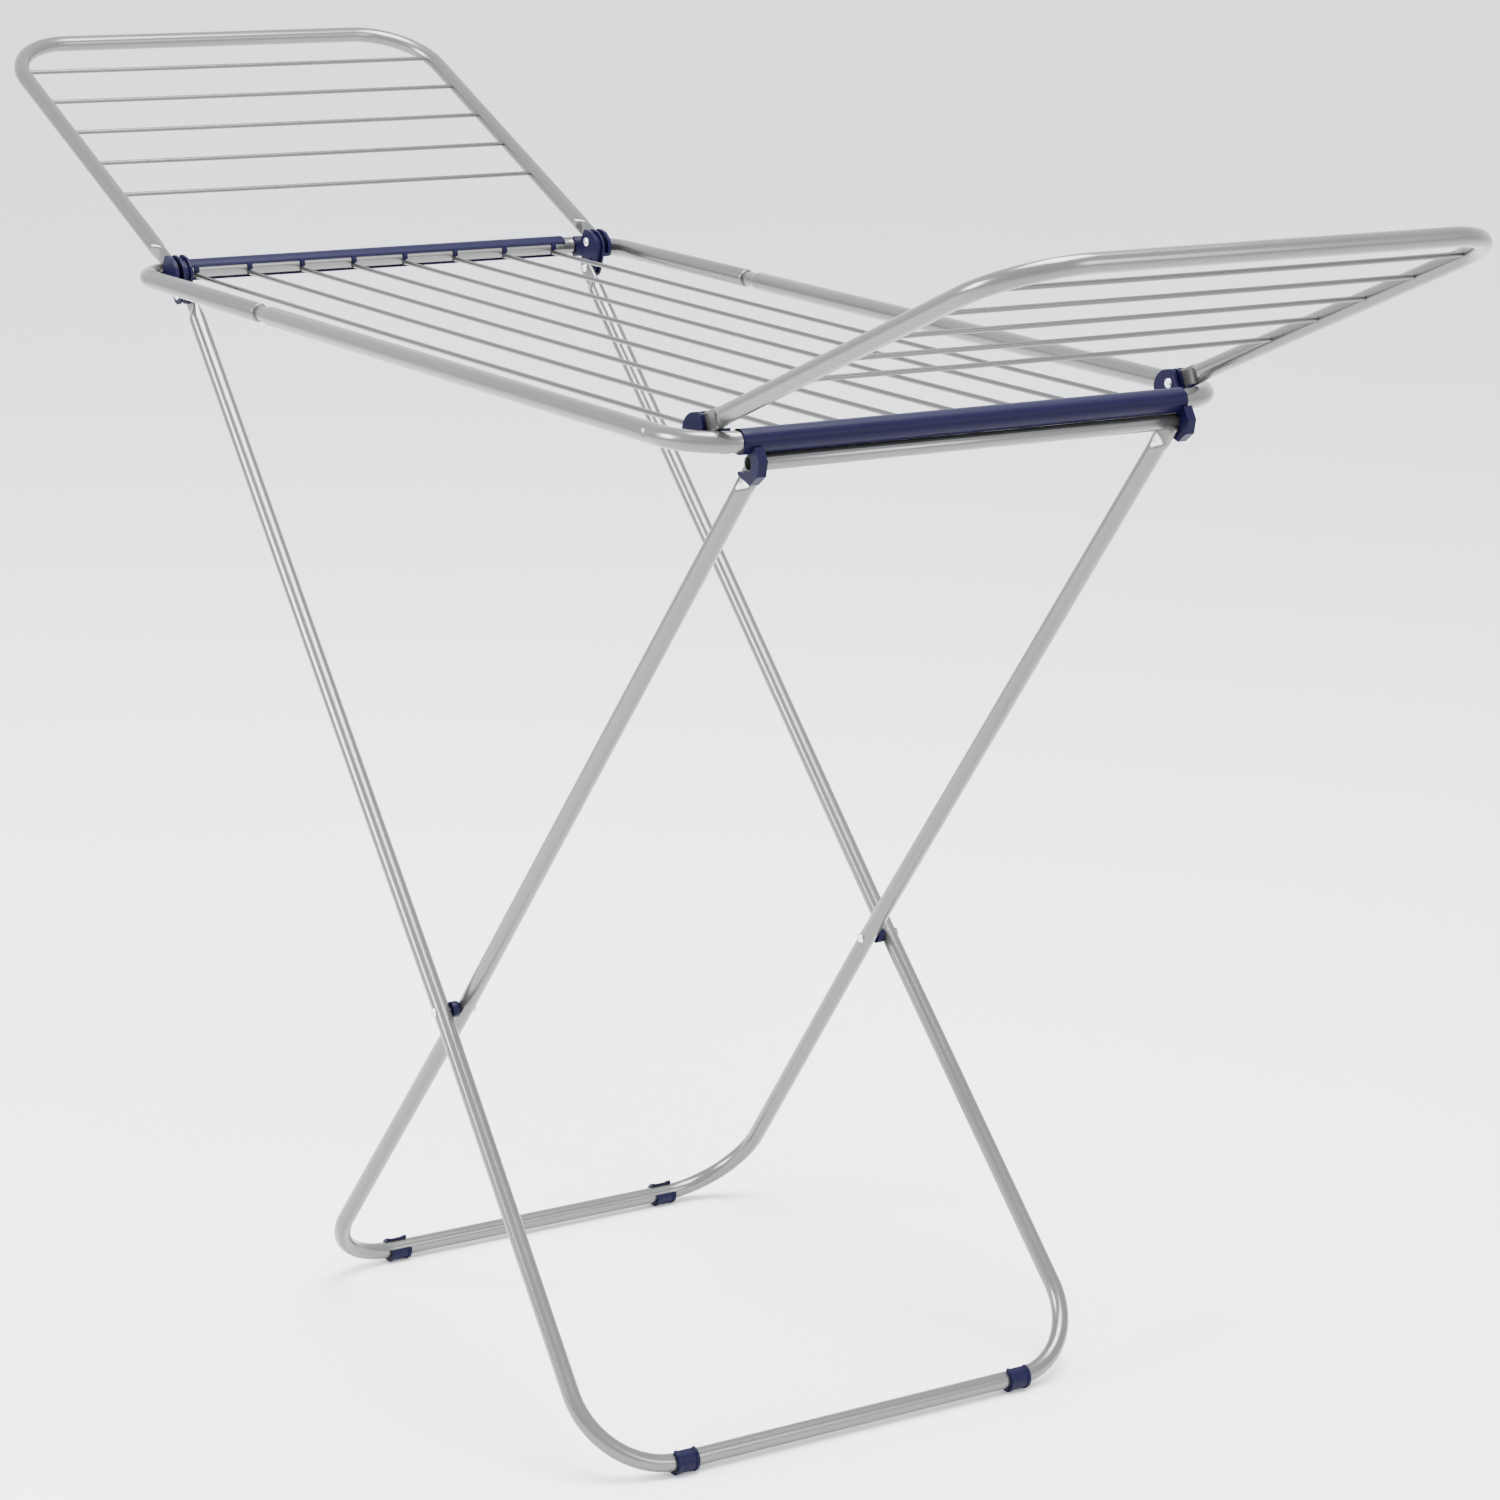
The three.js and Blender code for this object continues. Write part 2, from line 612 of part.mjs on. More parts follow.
// ---------------------------------------------------------------- wings
for (const [end, sign] of [["left", -1], ["right", 1]]) {
  const along = V(sign * Math.cos(wingTilt), 0, Math.sin(wingTilt));
  const normal = V(-sign * Math.sin(wingTilt), 0, Math.cos(wingTilt));
  const at = (reach, y) => V(sign * wingPivotX, y, wingPivotZ).addScaledVector(along, reach);
  const path = bend(
    [at(0, -wingY), at(WING_REACH, -wingY), at(WING_REACH, wingY), at(0, wingY)],
    WING_BEND_RADIUS,
    7,
  );
  let tube = tabbedTube(path, normal, wingR, WING_TAB_LENGTH, TAB_HALF_WIDTH, true);
  tube = tube.subtract(pin(sign * wingPivotX, wingPivotZ, rivetHoleR, -railY, railY, 10));
  for (let i = 0; i < WING_WIRE_COUNT; i += 1) {
    const reach = WING_REACH - WING_WIRE_INSET - i * WING_WIRE_PITCH;
    const corner = reach - (WING_REACH - WING_BEND_RADIUS);
    const tubeY = wingY - WING_BEND_RADIUS
      + (corner > 0 ? Math.sqrt(WING_BEND_RADIUS ** 2 - corner ** 2) : WING_BEND_RADIUS);
    const halfLength = tubeY - wingR + WIRE_POCKET_DEPTH;
    const pocket = new THREE.CylinderGeometry(
      wireR + CLEARANCE,
      wireR + CLEARANCE,
      2 * (halfLength + CLEARANCE),
      8,
    );
    const centre = at(reach, 0);
    pocket.translate(centre.x, 0, centre.z);
    tube = tube.subtract(toSolid(pocket));
    const wire = new THREE.CylinderGeometry(wireR, wireR, 2 * halfLength, 8);
    add(`wing_${end}_wire_${i + 1}`, wire, silver).position.copy(centre);
  }
  add(`wing_${end}_tube`, tube, silver);
}

// ---------------------------------------------------------------- leg frames
function legPlaneNormal(top, foot) {
  const u = V(foot.x - top.x, 0, foot.z - top.z).normalize();
  return V(-u.z, 0, u.x);
}

const outerPath = bend(
  [
    V(legPivot.x, -legTopY, legPivot.z),
    V(midPivot.x, -outerMidY, midPivot.z),
    V(outerFoot.x, -outerFootY, outerFoot.z),
    V(outerFoot.x, outerFootY, outerFoot.z),
    V(midPivot.x, outerMidY, midPivot.z),
    V(legPivot.x, legTopY, legPivot.z),
  ],
  [0, LEG_BEND_RADIUS, LEG_BEND_RADIUS, 0],
  12,
);
const outerLegs = cut(
  tabbedTube(
    outerPath,
    legPlaneNormal(legPivot, outerFoot),
    legR,
    LEG_TAB_LENGTH,
    TAB_HALF_WIDTH,
    true,
  ),
  pin(legPivot.x, legPivot.z, rivetHoleR, -railY, railY, 10),
  pin(midPivot.x, midPivot.z, rivetHoleR, -railY, railY, 10),
);
add("leg_frame_outer", outerLegs, silver);

// The flattened tops of the inner legs are hollowed to cup the crossbar from below.
const innerTop = (s) => V(crossbar.x, s * innerTopY, crossbar.z);
const innerPath = bend(
  [
    innerTop(-1),
    V(midPivot.x, -innerMidY, midPivot.z),
    V(innerFoot.x, -innerFootY, innerFoot.z),
    V(innerFoot.x, innerFootY, innerFoot.z),
    V(midPivot.x, innerMidY, midPivot.z),
    innerTop(1),
  ],
  [0, LEG_BEND_RADIUS, LEG_BEND_RADIUS, 0],
  12,
);
const innerLegs = cut(
  tabbedTube(
    innerPath,
    legPlaneNormal(crossbar, innerFoot),
    legR,
    INNER_TAB_LENGTH,
    INNER_TAB_HALF_WIDTH,
    false,
  ),
  pin(crossbar.x, crossbar.z, crossR + CLEARANCE, -railY, railY, 20),
  pin(midPivot.x, midPivot.z, rivetHoleR, -railY, railY, 10),
);
add("leg_frame_inner", innerLegs, silver);

const barGeometry = new THREE.CylinderGeometry(crossR, crossR, 2 * crossbarEndY, 20);
add("leg_crossbar", barGeometry, silver).position.set(crossbar.x, 0, crossbar.z);

// ---------------------------------------------------------------- middle pivots
for (const [side, s] of SIDES) {
  const [y0, y1] = span(s, innerMidY + legR + CLEARANCE, outerMidY - legR - CLEARANCE);
  const ring = cut(
    pin(midPivot.x, midPivot.z, SPACER_DIAMETER / 2, y0, y1, 16),
    pin(midPivot.x, midPivot.z, rivetHoleR, y0 - 1, y1 + 1, 10),
  );
  add(`pivot_spacer_${side}`, ring, navy);
  const inner = innerMidY - legR - CLEARANCE;
  const outer = outerMidY + legR + CLEARANCE;
  sideRivet(`pivot_rivet_${side}`, midPivot.x, midPivot.z, inner, outer, s);
}

// ---------------------------------------------------------------- foot clips
// Open ring snapped over a foot bar, with a flat sole; the mouth faces up and inward.
function footClip(foot, footY, side, mouthDeg, legTube) {
  const inner = legR + CLEARANCE + 0.1;
  const outline = band(foot.x, footZ, inner, clipR + 0.6, mouthDeg + 38, mouthDeg + 322, 18);
  const soled = outline.map(([px, pz]) => [px, Math.max(pz, 0)]);
  const middle = footY - LEG_BEND_RADIUS - FOOT_CLIP_OFFSET;
  const half = FOOT_CLIP_LENGTH / 2;
  return cut(plate(soled, ...span(side, middle - half, middle + half)), legTube);
}

// Foot bar with its two corners, grown by the clearance.
function grownLeg(path, top, foot) {
  const radius = legR + CLEARANCE;
  return toSolid(sweep(path.slice(1, -1), legPlaneNormal(top, foot), () => [radius, radius]));
}

const outerTube = grownLeg(outerPath, legPivot, outerFoot);
const innerTube = grownLeg(innerPath, crossbar, innerFoot);
for (const [side, s] of SIDES) {
  const outer = footClip(outerFoot, outerFootY, s, 125, outerTube);
  add(`foot_clip_outer_${side}`, outer, navy);
  const inner = footClip(innerFoot, innerFootY, s, 55, innerTube);
  add(`foot_clip_inner_${side}`, inner, navy);
}

export default part;
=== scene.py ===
"""Looks of a folding clothes drying rack with two wings.

Satin silver tubes and wires with dark navy mouldings. Sizes inside the classes are millimetres;
meshes are put down in metres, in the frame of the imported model: X along the rack, Z up, floor at 0.
"""

import logging
import math
from collections.abc import Sequence
from dataclasses import dataclass, field
from enum import Enum

import bpy
import numpy as np
from mathutils import Matrix


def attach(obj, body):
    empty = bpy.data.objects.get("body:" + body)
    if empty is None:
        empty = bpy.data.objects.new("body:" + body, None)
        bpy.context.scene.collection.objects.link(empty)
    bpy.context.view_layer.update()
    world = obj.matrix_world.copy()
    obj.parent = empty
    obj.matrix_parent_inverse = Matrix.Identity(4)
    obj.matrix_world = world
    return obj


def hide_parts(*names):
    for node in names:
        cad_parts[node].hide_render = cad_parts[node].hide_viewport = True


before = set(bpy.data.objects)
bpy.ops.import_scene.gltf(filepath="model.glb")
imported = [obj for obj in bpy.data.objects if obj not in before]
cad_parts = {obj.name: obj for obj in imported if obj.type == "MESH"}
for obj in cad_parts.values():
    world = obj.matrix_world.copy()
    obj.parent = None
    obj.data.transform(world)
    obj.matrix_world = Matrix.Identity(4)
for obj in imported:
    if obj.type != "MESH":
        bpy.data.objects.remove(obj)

log = logging.getLogger("drying_rack")
Array = np.ndarray
MM = 0.001


class Side(Enum):
    """Which side of the rack a piece is on; the value is the sign of Y."""

    NEAR = -1
    FAR = 1

    @property
    def word(self) -> str:
        """The word used in node names."""
        return self.name.lower()

    def span(self, inner: float, outer: float) -> tuple[float, float]:
        """A span measured outward from the middle, as rising values of y."""
        return (inner, outer) if self is Side.FAR else (-outer, -inner)


class End(Enum):
    """Which end of the rack a piece is at; the value is the sign of X."""

    LEFT = -1
    RIGHT = 1

    @property
    def word(self) -> str:
        """The word used in node names."""
        return self.name.lower()


class Slot(Enum):
    """Material slots of the record."""

    TUBE = "tube_lacquer"
    WIRE = "wire_lacquer"
    PLASTIC = "navy_plastic"
    RIVET = "rivet_steel"


# ---------------------------------------------------------------- shader helpers
class Socket:
    """Wraps a node socket so that plain expressions add Math nodes."""

    def __init__(self, tree: "NodeBench", socket: bpy.types.NodeSocket) -> None:
        """Keep the bench and the output socket.

        Args:
            tree: The bench that adds nodes.
            socket: The output socket that holds the value.
        """
        self.tree = tree
        self.socket = socket

    def _math(self, operation: str, a: object, b: object) -> "Socket":
        """Add one Math node.

        Args:
            operation: The Math node's operation.
            a: First value or socket.
            b: Second value or socket.

        Returns:
            The node's output.
        """
        return self.tree.node("ShaderNodeMath", {"operation": operation}, {0: a, 1: b})

    def __add__(self, other: object) -> "Socket":
        """Sum."""
        return self._math("ADD", self, other)

    __radd__ = __add__

    def __sub__(self, other: object) -> "Socket":
        """Difference."""
        return self._math("SUBTRACT", self, other)

    def __rsub__(self, other: object) -> "Socket":
        """Difference from a number."""
        return self._math("SUBTRACT", other, self)

    def __mul__(self, other: object) -> "Socket":
        """Product."""
        return self._math("MULTIPLY", self, other)

    __rmul__ = __mul__


class NodeBench:
    """Adds nodes to one material, each through the same method."""

    def __init__(self, name: str) -> None:
        """Start a material that holds only a Principled shader and its output.

        Args:
            name: The material's name.
        """
        self.material = bpy.data.materials.new(name)
        self.material.use_nodes = True
        self.nodes = self.material.node_tree.nodes
        self.links = self.material.node_tree.links
        self.nodes.clear()
        self.shader = self.nodes.new("ShaderNodeBsdfPrincipled")
        output = self.nodes.new("ShaderNodeOutputMaterial")
        self.links.new(self.shader.outputs["BSDF"], output.inputs["Surface"])

    def node(
        self,
        kind: str,
        settings: dict[str, object] | None = None,
        inputs: dict[str | int, object] | None = None,
        out: str | int = 0,
    ) -> Socket:
        """Add a node, set it up, and fill its sockets.

        Args:
            kind: The node's type name.
            settings: Properties of the node; "stops" fills a colour ramp.
            inputs: Values or sockets by input name or index.
            out: Which output to return.

        Returns:
            The chosen output.
        """
        made = self.nodes.new(kind)
        for key, value in (settings or {}).items():
            if key == "stops":
                for k, (place, shade) in enumerate(value):
                    spot = made.color_ramp.elements
                    stop = spot[k] if k < 2 else spot.new(place)
                    stop.position = place
                    stop.color = shade
            else:
                setattr(made, key, value)
        for key, value in (inputs or {}).items():
            self.plug(made.inputs[key], value)
        return Socket(self, made.outputs[out])

    def plug(self, target: bpy.types.NodeSocket, value: object) -> None:
        """Link a socket, or set its value.

        Args:
            target: The input socket.
            value: A Socket or a plain value.
        """
        if isinstance(value, Socket):
            self.links.new(value.socket, target)
        else:
            target.default_value = value

    def noise(self, where: Socket, scale: float, detail: float = 3.0, rough: float = 0.5) -> Socket:
        """Noise between 0 and 1 at a place.

        Args:
            where: The coordinates.
            scale: Spots per metre.
            detail: Octaves.
            rough: Weight of the finer octaves.

        Returns:
            The noise value.
        """
        sockets = {"Vector": where, "Scale": scale, "Detail": detail, "Roughness": rough}
        return self.node("ShaderNodeTexNoise", {}, sockets, "Fac")

    def mask(self, value: Socket, low: float, high: float) -> Socket:
        """Smooth step of a value from 0 at low to 1 at high."""
        sockets = {"Value": value, "From Min": low, "From Max": high}
        return self.node("ShaderNodeMapRange", {"interpolation_type": "SMOOTHSTEP"}, sockets)

    def mix(self, share: Socket, a: tuple | Socket, b: tuple | Socket) -> Socket:
        """Colour mix.

        Args:
            share: How much of b.
            a: Colour at 0.
            b: Colour at 1.

        Returns:
            The mixed colour.
        """
        made = self.nodes.new("ShaderNodeMix")
        made.data_type = "RGBA"
        self.plug(made.inputs[0], share)
        self.plug(made.inputs[6], a)
        self.plug(made.inputs[7], b)
        return Socket(self, made.outputs[2])

    def bump(self, height: Socket, strength: float, distance: float) -> Socket:
        """Bump normal from a height, with the depth in metres."""
        sockets = {"Height": height, "Strength": strength, "Distance": distance}
        return self.node("ShaderNodeBump", {}, sockets)

    def fill(self, **values: object) -> None:
        """Fill the shader's sockets; a name's underscores stand for spaces."""
        for key, value in values.items():
            self.plug(self.shader.inputs[key.replace("_", " ")], value)


def rgb(r: float, g: float, b: float) -> tuple[float, float, float, float]:
    """A linear colour with full alpha."""
    return (r, g, b, 1.0)


# ---------------------------------------------------------------- finishes
@dataclass(frozen=True)
class SatinLacquer:
    """Metallic silver lacquer over drawn steel: fine flake, faint draw lines and soft scuffs."""

    name: str
    shade: tuple[float, float, float]
    metallic: float = 0.8
    roughness: float = 0.25
    line_scale: float = 1.0

    def material(self) -> bpy.types.Material:
        """Build the node material.

        Returns:
            The material, read from Object coordinates and the tube's own UV map.
        """
        b = NodeBench(self.name)
        place = b.node("ShaderNodeTexCoord", {}, {}, "Object")
        uv = b.node("ShaderNodeTexCoord", {}, {}, "UV")
        along = b.node(
            "ShaderNodeMapping", {}, {"Vector": uv, "Scale": (6.0, 600.0 * self.line_scale, 1.0)}
        )
        flake = b.noise(place, 2600.0, 2.0, 0.6)
        cloud = b.noise(place, 7.0, 4.0, 0.55)
        lines = b.noise(along, 1.0, 3.0, 0.6)
        scuff = b.mask(b.noise(place, 46.0, 6.0, 0.62), 0.63, 0.72)
        r, g, bl = self.shade
        low = rgb(r * 0.90, g * 0.90, bl * 0.885)
        high = rgb(min(r * 1.10, 1), min(g * 1.10, 1), min(bl * 1.115, 1))
        tone = b.mix(flake * 0.45 + cloud * 0.35 + lines * 0.2, low, high)
        rubbed = b.mix(scuff * 0.35, tone, rgb(r * 1.16, g * 1.16, bl * 1.15))
        height = flake * 0.25 + lines * 0.5 + cloud * 0.2
        b.fill(
            Base_Color=rubbed,
            Metallic=self.metallic,
            Roughness=cloud * 0.14 + lines * 0.06 - scuff * 0.05 + (self.roughness - 0.1),
            Coat_Weight=0.1,
            Coat_Roughness=0.12,
            Normal=b.bump(height, 0.12, 0.00004),
        )
        return b.material


@dataclass(frozen=True)
class MouldedNavy:
    """Dark navy injection-moulded plastic with a fine grain, flow clouds and rubbed spots."""

    name: str = "moulded_navy"
    shade: tuple[float, float, float] = (0.0026, 0.0022, 0.0165)
    roughness: float = 0.4

    def material(self) -> bpy.types.Material:
        """Build the node material from Object coordinates.

        Returns:
            The material.
        """
        b = NodeBench(self.name)
        place = b.node("ShaderNodeTexCoord", {}, {}, "Object")
        grain = b.noise(place, 1900.0, 3.0, 0.6)
        cloud = b.noise(place, 16.0, 3.0, 0.5)
        rub = b.mask(b.noise(place, 120.0, 5.0, 0.6), 0.62, 0.74)
        r, g, bl = self.shade
        tone = b.mix(cloud, rgb(r * 0.8, g * 0.8, bl * 0.82), rgb(r * 1.25, g * 1.25, bl * 1.2))
        worn = b.mix(rub * 0.4, tone, rgb(r * 2.4, g * 2.4, bl * 1.9))
        b.fill(
            Base_Color=worn,
            Roughness=grain * 0.1 + cloud * 0.08 - rub * 0.05 + (self.roughness - 0.08),
            Specular_IOR_Level=0.09,
            Normal=b.bump(grain, 0.3, 0.00005),
        )
        return b.material


@dataclass(frozen=True)
class PressedRivet:
    """Bright zinc-plated steel, formed by a press: light dents and a worked grain."""

    name: str = "pressed_rivet"
    shade: tuple[float, float, float] = (0.66, 0.67, 0.69)

    def material(self) -> bpy.types.Material:
        """Build the node material from Object coordinates.

        Returns:
            The material.
        """
        b = NodeBench(self.name)
        place = b.node("ShaderNodeTexCoord", {}, {}, "Object")
        dents = b.noise(place, 700.0, 3.0, 0.55)
        grain = b.noise(place, 4200.0, 2.0, 0.6)
        r, g, bl = self.shade
        tone = b.mix(dents, rgb(r * 0.82, g * 0.82, bl * 0.84), rgb(r * 1.15, g * 1.15, bl * 1.15))
        b.fill(
            Base_Color=tone,
            Metallic=1.0,
            Roughness=dents * 0.16 + grain * 0.08 + 0.16,
            Normal=b.bump(dents * 0.7 + grain * 0.3, 0.35, 0.0001),
        )
        return b.material


class Finishes:
    """The finishes of the record's slots, each made once."""

    def __init__(self) -> None:
        """Build the four materials."""
        self.by_slot = {
            Slot.TUBE: SatinLacquer("tube_silver", (0.125, 0.125, 0.121)).material(),
            Slot.WIRE: SatinLacquer(
                "wire_silver", (0.085, 0.085, 0.084), line_scale=2.0
            ).material(),
            Slot.PLASTIC: MouldedNavy().material(),
            Slot.RIVET: PressedRivet().material(),
        }


# ---------------------------------------------------------------- shapes
def unit(v: Array) -> Array:
    """Rows scaled to length 1."""
    return v / np.linalg.norm(v, axis=-1, keepdims=True)


@dataclass
class Shell:
    """Points and faces of one or more closed surfaces, in mm, with a UV pair per face corner."""

    points: Array
    faces: list[tuple[int, ...]]
    uv: Array

    @staticmethod
    def joined(shells: Sequence["Shell"]) -> "Shell":
        """Several shells as one mesh.

        Args:
            shells: The shells, in order.

        Returns:
            One shell with the face numbers shifted.
        """
        start, faces = 0, []
        for s in shells:
            faces += [tuple(i + start for i in f) for f in s.faces]
            start += len(s.points)
        points = np.concatenate([s.points for s in shells])
        return Shell(points, faces, np.concatenate([s.uv for s in shells]))


def lofted(rings: Array, lengths: Array, around: Array) -> Shell:
    """Closed surface through rings of points, with a flat n-gon at each end.

    Point (i, k) is ring i's point k; side faces join (i, k), (i, k+1), (i+1, k+1), (i+1, k).

    Args:
        rings: Array of n rings of m points.
        lengths: Distance of each ring along the piece, in mm, for U.
        around: Distance of each point round the ring, in mm, m + 1 values, for V.

    Returns:
        The shell, with faces outward when the rings turn right-handed about their direction.
    """
    n, m, _ = rings.shape
    i, k = np.meshgrid(np.arange(n - 1), np.arange(m), indexing="ij")
    k2 = (k + 1) % m
    quads = np.stack([i * m + k, i * m + k2, (i + 1) * m + k2, (i + 1) * m + k], -1)
    u = np.stack([lengths[i], lengths[i], lengths[i + 1], lengths[i + 1]], -1)
    v = np.stack([around[k], around[k + 1], around[k + 1], around[k]], -1)
    side_uv = np.stack([u, v], -1).reshape(-1, 2)
    first, last = np.arange(m)[::-1], (n - 1) * m + np.arange(m)
    caps_uv = np.stack([np.zeros(2 * m), np.concatenate([around[:m], around[:m]])], -1)
    faces = [tuple(q) for q in quads.reshape(-1, 4).tolist()]
    faces += [tuple(first.tolist()), tuple(last.tolist())]
    return Shell(rings.reshape(-1, 3), faces, np.concatenate([side_uv, caps_uv]) * MM)


def rounded_corners(corners: Array, radii: Sequence[float], steps: int) -> Array:
    """Path through corner points with a tangent arc in each inner corner.

    For a corner of half angle h and radius r the arc's centre is r / sin h along the bisector and
    its ends are r / tan h along the two legs; the arc is the spherical blend of its end radii.

    Args:
        corners: Corner points.
        radii: Radius at each inner corner, 0 to keep it sharp.
        steps: Chords in each arc.

    Returns:
        The path's points.
    """
    path = [corners[:1]]
    for i, r in enumerate(radii, start=1):
        if r == 0:
            path.append(corners[i : i + 1])
            continue
        before, after = unit(corners[i - 1] - corners[i]), unit(corners[i + 1] - corners[i])
        half = math.acos(float(np.clip(before @ after, -1, 1))) / 2
        centre = corners[i] + unit(before + after) * r / math.sin(half)
        start = corners[i] + before * r / math.tan(half) - centre
        end = corners[i] + after * r / math.tan(half) - centre
        turn = math.pi - 2 * half
        t = np.linspace(0, 1, steps + 1)[:, None]
        arc = (np.sin((1 - t) * turn) * start + np.sin(t * turn) * end) / math.sin(turn)
        path.append(centre + arc)
    path.append(corners[-1:])
    return np.concatenate(path)


def swept(
    path: Array, normal: Array, sizes: Array, power: Array | float, sides: int = 28
) -> Shell:
    """Superellipse section carried along a flat path.

    At angle a the section is  p + normal * A * c(cos a) + side * W * c(sin a)  with
    c(x) = sign(x) |x|^(2/power); power 2 is an ellipse and 5 nearly a rounded rectangle.

    Args:
        path: Points of the path.
        normal: Normal of the path's plane.
        sizes: Half size along the normal and half size in the plane, per point.
        power: Superellipse power, one number or one per point.
        sides: Points round the section.

    Returns:
        The closed surface.
    """
    steps = np.diff(path, axis=0)
    ahead = unit(np.concatenate([steps, steps[-1:]]))
    behind = unit(np.concatenate([steps[:1], steps]))
    tangent = unit(ahead + behind)
    side = unit(np.cross(normal, tangent))
    a = (np.arange(sides) + 0.5) / sides * 2 * np.pi
    shape = 2 / np.broadcast_to(np.asarray(power, float), (len(path),))[:, None]
    c = np.sign(np.cos(a)) * np.abs(np.cos(a)) ** shape
    s = np.sign(np.sin(a)) * np.abs(np.sin(a)) ** shape
    rings = path[:, None] + normal * (sizes[:, :1] * c)[..., None]
    rings = rings + side[:, None] * (sizes[:, 1:] * s)[..., None]
    lengths = np.concatenate([[0.0], np.cumsum(np.linalg.norm(steps, axis=1))])
    around = np.arange(sides + 1) / sides * np.pi * 2 * float(np.median(sizes))
    return lofted(rings, lengths, around)


def turned(profile: Array, centre: Array, axis: Array, sides: int = 28) -> Shell:
    """Profile of (radius, height) turned about an axis: centre + axis h + r (e cos a + f sin a)."""
    axis = unit(axis)
    e = unit(np.cross(axis, np.array([0.31, 0.17, 0.93])))
    f = np.cross(axis, e)
    a = np.arange(sides) / sides * 2 * np.pi
    circle = e * np.cos(a)[:, None] + f * np.sin(a)[:, None]
    rings = centre + axis * profile[:, 1, None, None] + circle * profile[:, 0, None, None]
    lengths = np.concatenate([[0.0], np.cumsum(np.hypot(*np.diff(profile, axis=0).T))])
    around = np.arange(sides + 1) / sides * 2 * np.pi * float(profile[:, 0].max())
    return lofted(rings, lengths, around)


def prism(outline: Array, y: Array, shift: Array) -> Shell:
    """Solid with the outline (x, z) at every rising value of y, shifted along x there.

    Args:
        outline: Corner points in the XZ plane, in either turning sense.
        y: Rising values of y.
        shift: Shift along x at each of them.

    Returns:
        The solid, faces outward.
    """
    x, z = outline.T
    area = float(np.sum(x * np.roll(z, -1) - np.roll(x, -1) * z))
    flat = outline if area < 0 else outline[::-1]
    rings = np.stack([np.insert(flat, 1, v, axis=1) for v in y])
    rings[..., 0] += shift[:, None]
    edge = np.linalg.norm(np.diff(np.concatenate([flat, flat[:1]]), axis=0), axis=1)
    return lofted(rings, y - y[0], np.concatenate([[0.0], np.cumsum(edge)]))


def plate(outline: Array, y0: float, y1: float) -> Shell:
    """Prism with the outline (x, z), standing between two values of y."""
    return prism(outline, np.array([y0, y1]), np.zeros(2))


def arc(x: float, z: float, r: float, start: float, stop: float, steps: int) -> Array:
    """Points of an arc about (x, z), angles in degrees from +X towards +Z."""
    a = np.radians(np.linspace(start, stop, steps + 1))
    return np.stack([x + r * np.cos(a), z + r * np.sin(a)], -1)


def band(
    x: float, z: float, inner: float, outer: float, start: float, stop: float, steps: int
) -> Array:
    """Outline of an arc-shaped band: the outer arc out, the inner arc back."""
    there = arc(x, z, outer, start, stop, steps)
    return np.concatenate([there, arc(x, z, inner, start, stop, steps)[::-1]])


@dataclass(frozen=True)
class Edges:
    """How a moulded piece's edges are rounded."""

    width: float = 0.5
    segments: int = 3
    angle: float = 32.0


def publish(
    name: str,
    shell: Shell,
    body: str,
    slot: Slot,
    finishes: Finishes,
    edges: Edges | None = None,
    smooth_angle: float = 40.0,
) -> bpy.types.Object:
    """Put a shell in the scene as a finished piece that stands for the CAD node of its name.

    Args:
        name: Name of the piece and of its CAD node.
        shell: The mesh in millimetres.
        body: CAD body that it rides on.
        slot: The record's material slot.
        finishes: The materials.
        edges: Rounding of the edges, or None.
        smooth_angle: Edges sharper than this stay creased, in degrees.

    Returns:
        The object.
    """
    mesh = bpy.data.meshes.new(name)
    mesh.from_pydata((shell.points * MM).tolist(), [], shell.faces)
    layer = mesh.uv_layers.new(name="surface")
    layer.data.foreach_set("uv", shell.uv.astype(np.float32).ravel())
    mesh.polygons.foreach_set("use_smooth", np.ones(len(mesh.polygons), bool))
    mesh.set_sharp_from_angle(angle=math.radians(smooth_angle))
    mesh.materials.append(finishes.by_slot[slot])
    mesh.validate()
    piece = bpy.data.objects.new(name, mesh)
    bpy.context.scene.collection.objects.link(piece)
    if edges:
        soft = piece.modifiers.new("rounded edges", "BEVEL")
        soft.width = edges.width * MM
        soft.segments = edges.segments
        soft.limit_method = "ANGLE"
        soft.angle_limit = math.radians(edges.angle)
        soft.harden_normals = True
    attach(piece, body)
    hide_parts(name)
    log.info("%s: %d faces on %s", name, len(shell.faces), body)
    return piece


